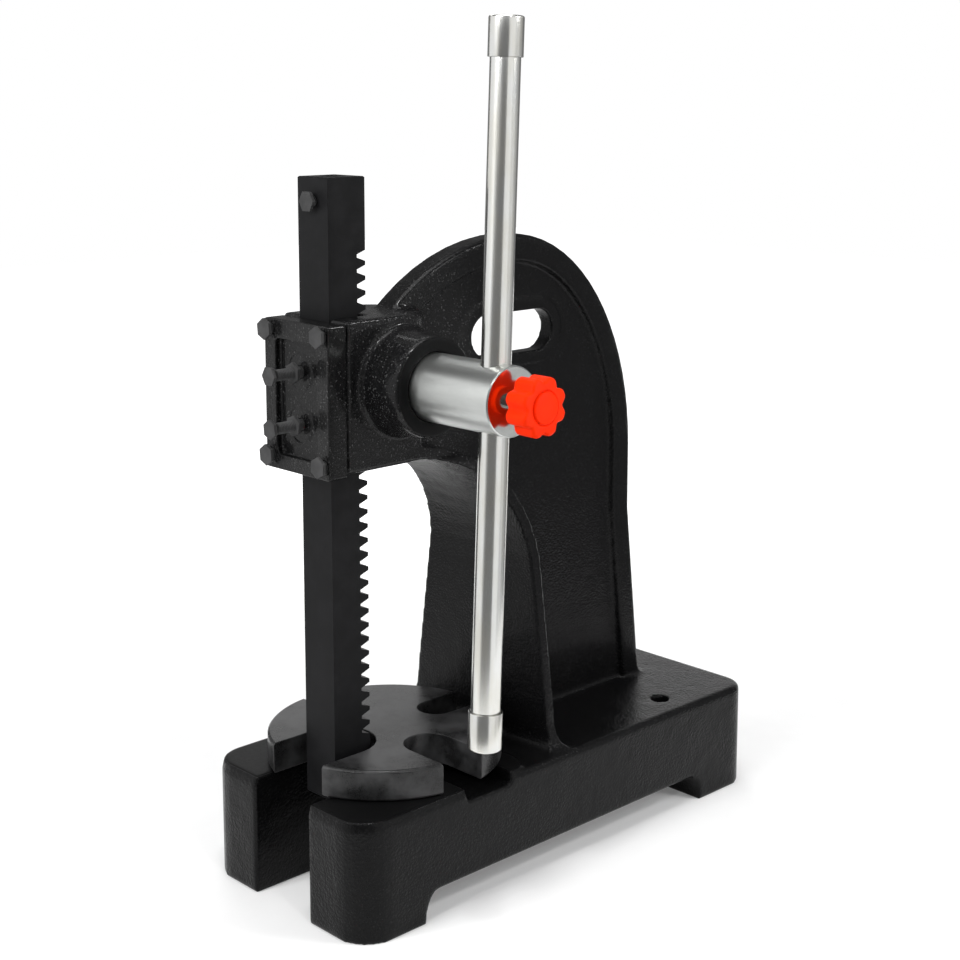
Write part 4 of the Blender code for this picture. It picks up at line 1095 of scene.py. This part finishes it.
def ring_card(name, start, end, foot, top, tone, look, bearing_of):
    """An upright curved card between two bearings and two heights."""
    points = []
    for i in range(CARD_STEPS + 1):
        place = bearing_of(start + (end - start) * i / CARD_STEPS) * look.card_distance
        points += [place + Vector((0, 0, foot)), place + Vector((0, 0, top))]
    card(name, points, [(2 * i, 2 * i + 2, 2 * i + 3, 2 * i + 1) for i in range(CARD_STEPS)], tone)


class PRESS_OT_studio(bpy.types.Operator):
    """Set up the white floor, the camera, the cards and the soft lamps"""

    bl_idname = "press.studio"
    bl_label = "Studio"

    def execute(self, context):
        look = context.scene.press_studio
        scene = context.scene
        scene.view_settings.view_transform = "Standard"
        slab = loft([square(FLOOR_REACH, -FLOOR_DEPTH), square(FLOOR_REACH, 0)])
        floor = bpy.data.objects.new("floor", slab)
        floor.data.materials.append(white_floor(look))
        scene.collection.objects.link(floor)
        world = bpy.data.worlds.new("studio")
        world.use_nodes = True
        graph = Graph(world.node_tree)
        seen = straight_rays(graph)
        background = graph.tree.nodes["Background"]
        background.inputs["Color"].default_value = (1, 1, 1, 1)
        graph.feed(background.inputs["Strength"], look.ambient + seen * (1 - look.ambient))
        scene.world = world
        camera = bpy.data.objects.new("camera", bpy.data.cameras.new("camera"))
        camera.data.lens = look.lens
        camera.data.shift_y = look.shift
        camera.data.clip_end = 20
        camera.location = look.camera_place
        camera.rotation_euler = Euler((math.pi / 2 - look.camera_dip, 0, look.camera_azimuth))
        scene.collection.objects.link(camera)
        scene.camera = camera
        sideways = Vector((math.cos(look.camera_azimuth), math.sin(look.camera_azimuth), 0))
        ahead = Vector((-math.sin(look.camera_azimuth), math.cos(look.camera_azimuth), 0))
        upward = Vector((0, 0, 1))

        def bearing_of(degrees):
            """A level direction from the press, 0 towards the camera and 90 to its right."""
            angle = math.radians(degrees)
            return sideways * math.sin(angle) - ahead * math.cos(angle)

        for start, end, foot, top, tone in RING_CARDS:
            ring_card(f"ring_card_{start}", start, end, foot, top, tone, look, bearing_of)
        card("ceiling_card", square(CEILING_REACH, CEILING_HEIGHT), [(0, 1, 2, 3)], CEILING_TONE)
        for name, (forward, right, up), size, power in LAMPS:
            place = TARGET + ahead * forward + sideways * right + upward * up
            lamp(name, place, size, getattr(look, power))
        return {"FINISHED"}


OPERATORS = (
    PRESS_OT_castings,
    PRESS_OT_ram,
    PRESS_OT_gib,
    PRESS_OT_plate,
    PRESS_OT_shaft,
    PRESS_OT_bar,
    PRESS_OT_knob,
    PRESS_OT_fasteners,
    PRESS_OT_studio,
)
GROUPS = {
    "press_castings": PRESS_PG_castings,
    "press_machined": PRESS_PG_machined,
    "press_lever": PRESS_PG_lever,
    "press_fasteners": PRESS_PG_fasteners,
    "press_studio": PRESS_PG_studio,
}


class PRESS_PT_panel(bpy.types.Panel):
    """Lists the press's pieces and their sizes and colours"""

    bl_label = "Arbor press"
    bl_idname = "PRESS_PT_panel"
    bl_space_type = "VIEW_3D"
    bl_region_type = "UI"
    bl_category = "Arbor press"

    def draw(self, context):
        for group in GROUPS:
            box = self.layout.box()
            settings = getattr(context.scene, group)
            for name in settings.bl_rna.properties.keys():
                if name not in ("rna_type", "name"):
                    box.prop(settings, name)
        for operator in OPERATORS:
            self.layout.operator(operator.bl_idname)


def register():
    for group, kind in GROUPS.items():
        bpy.utils.register_class(kind)
        setattr(bpy.types.Scene, group, PointerProperty(type=kind))
    for kind in (*OPERATORS, PRESS_PT_panel):
        bpy.utils.register_class(kind)


def unregister():
    for kind in (PRESS_PT_panel, *reversed(OPERATORS)):
        bpy.utils.unregister_class(kind)
    for group, kind in reversed(GROUPS.items()):
        delattr(bpy.types.Scene, group)
        bpy.utils.unregister_class(kind)


def main():
    register()
    bpy.ops.press.castings()
    bpy.ops.press.ram()
    bpy.ops.press.gib()
    bpy.ops.press.plate()
    bpy.ops.press.shaft()
    bpy.ops.press.bar()
    bpy.ops.press.knob()
    bpy.ops.press.fasteners()
    bpy.ops.press.studio()
    bpy.context.view_layer.update()


if __name__ == "__main__":
    main()
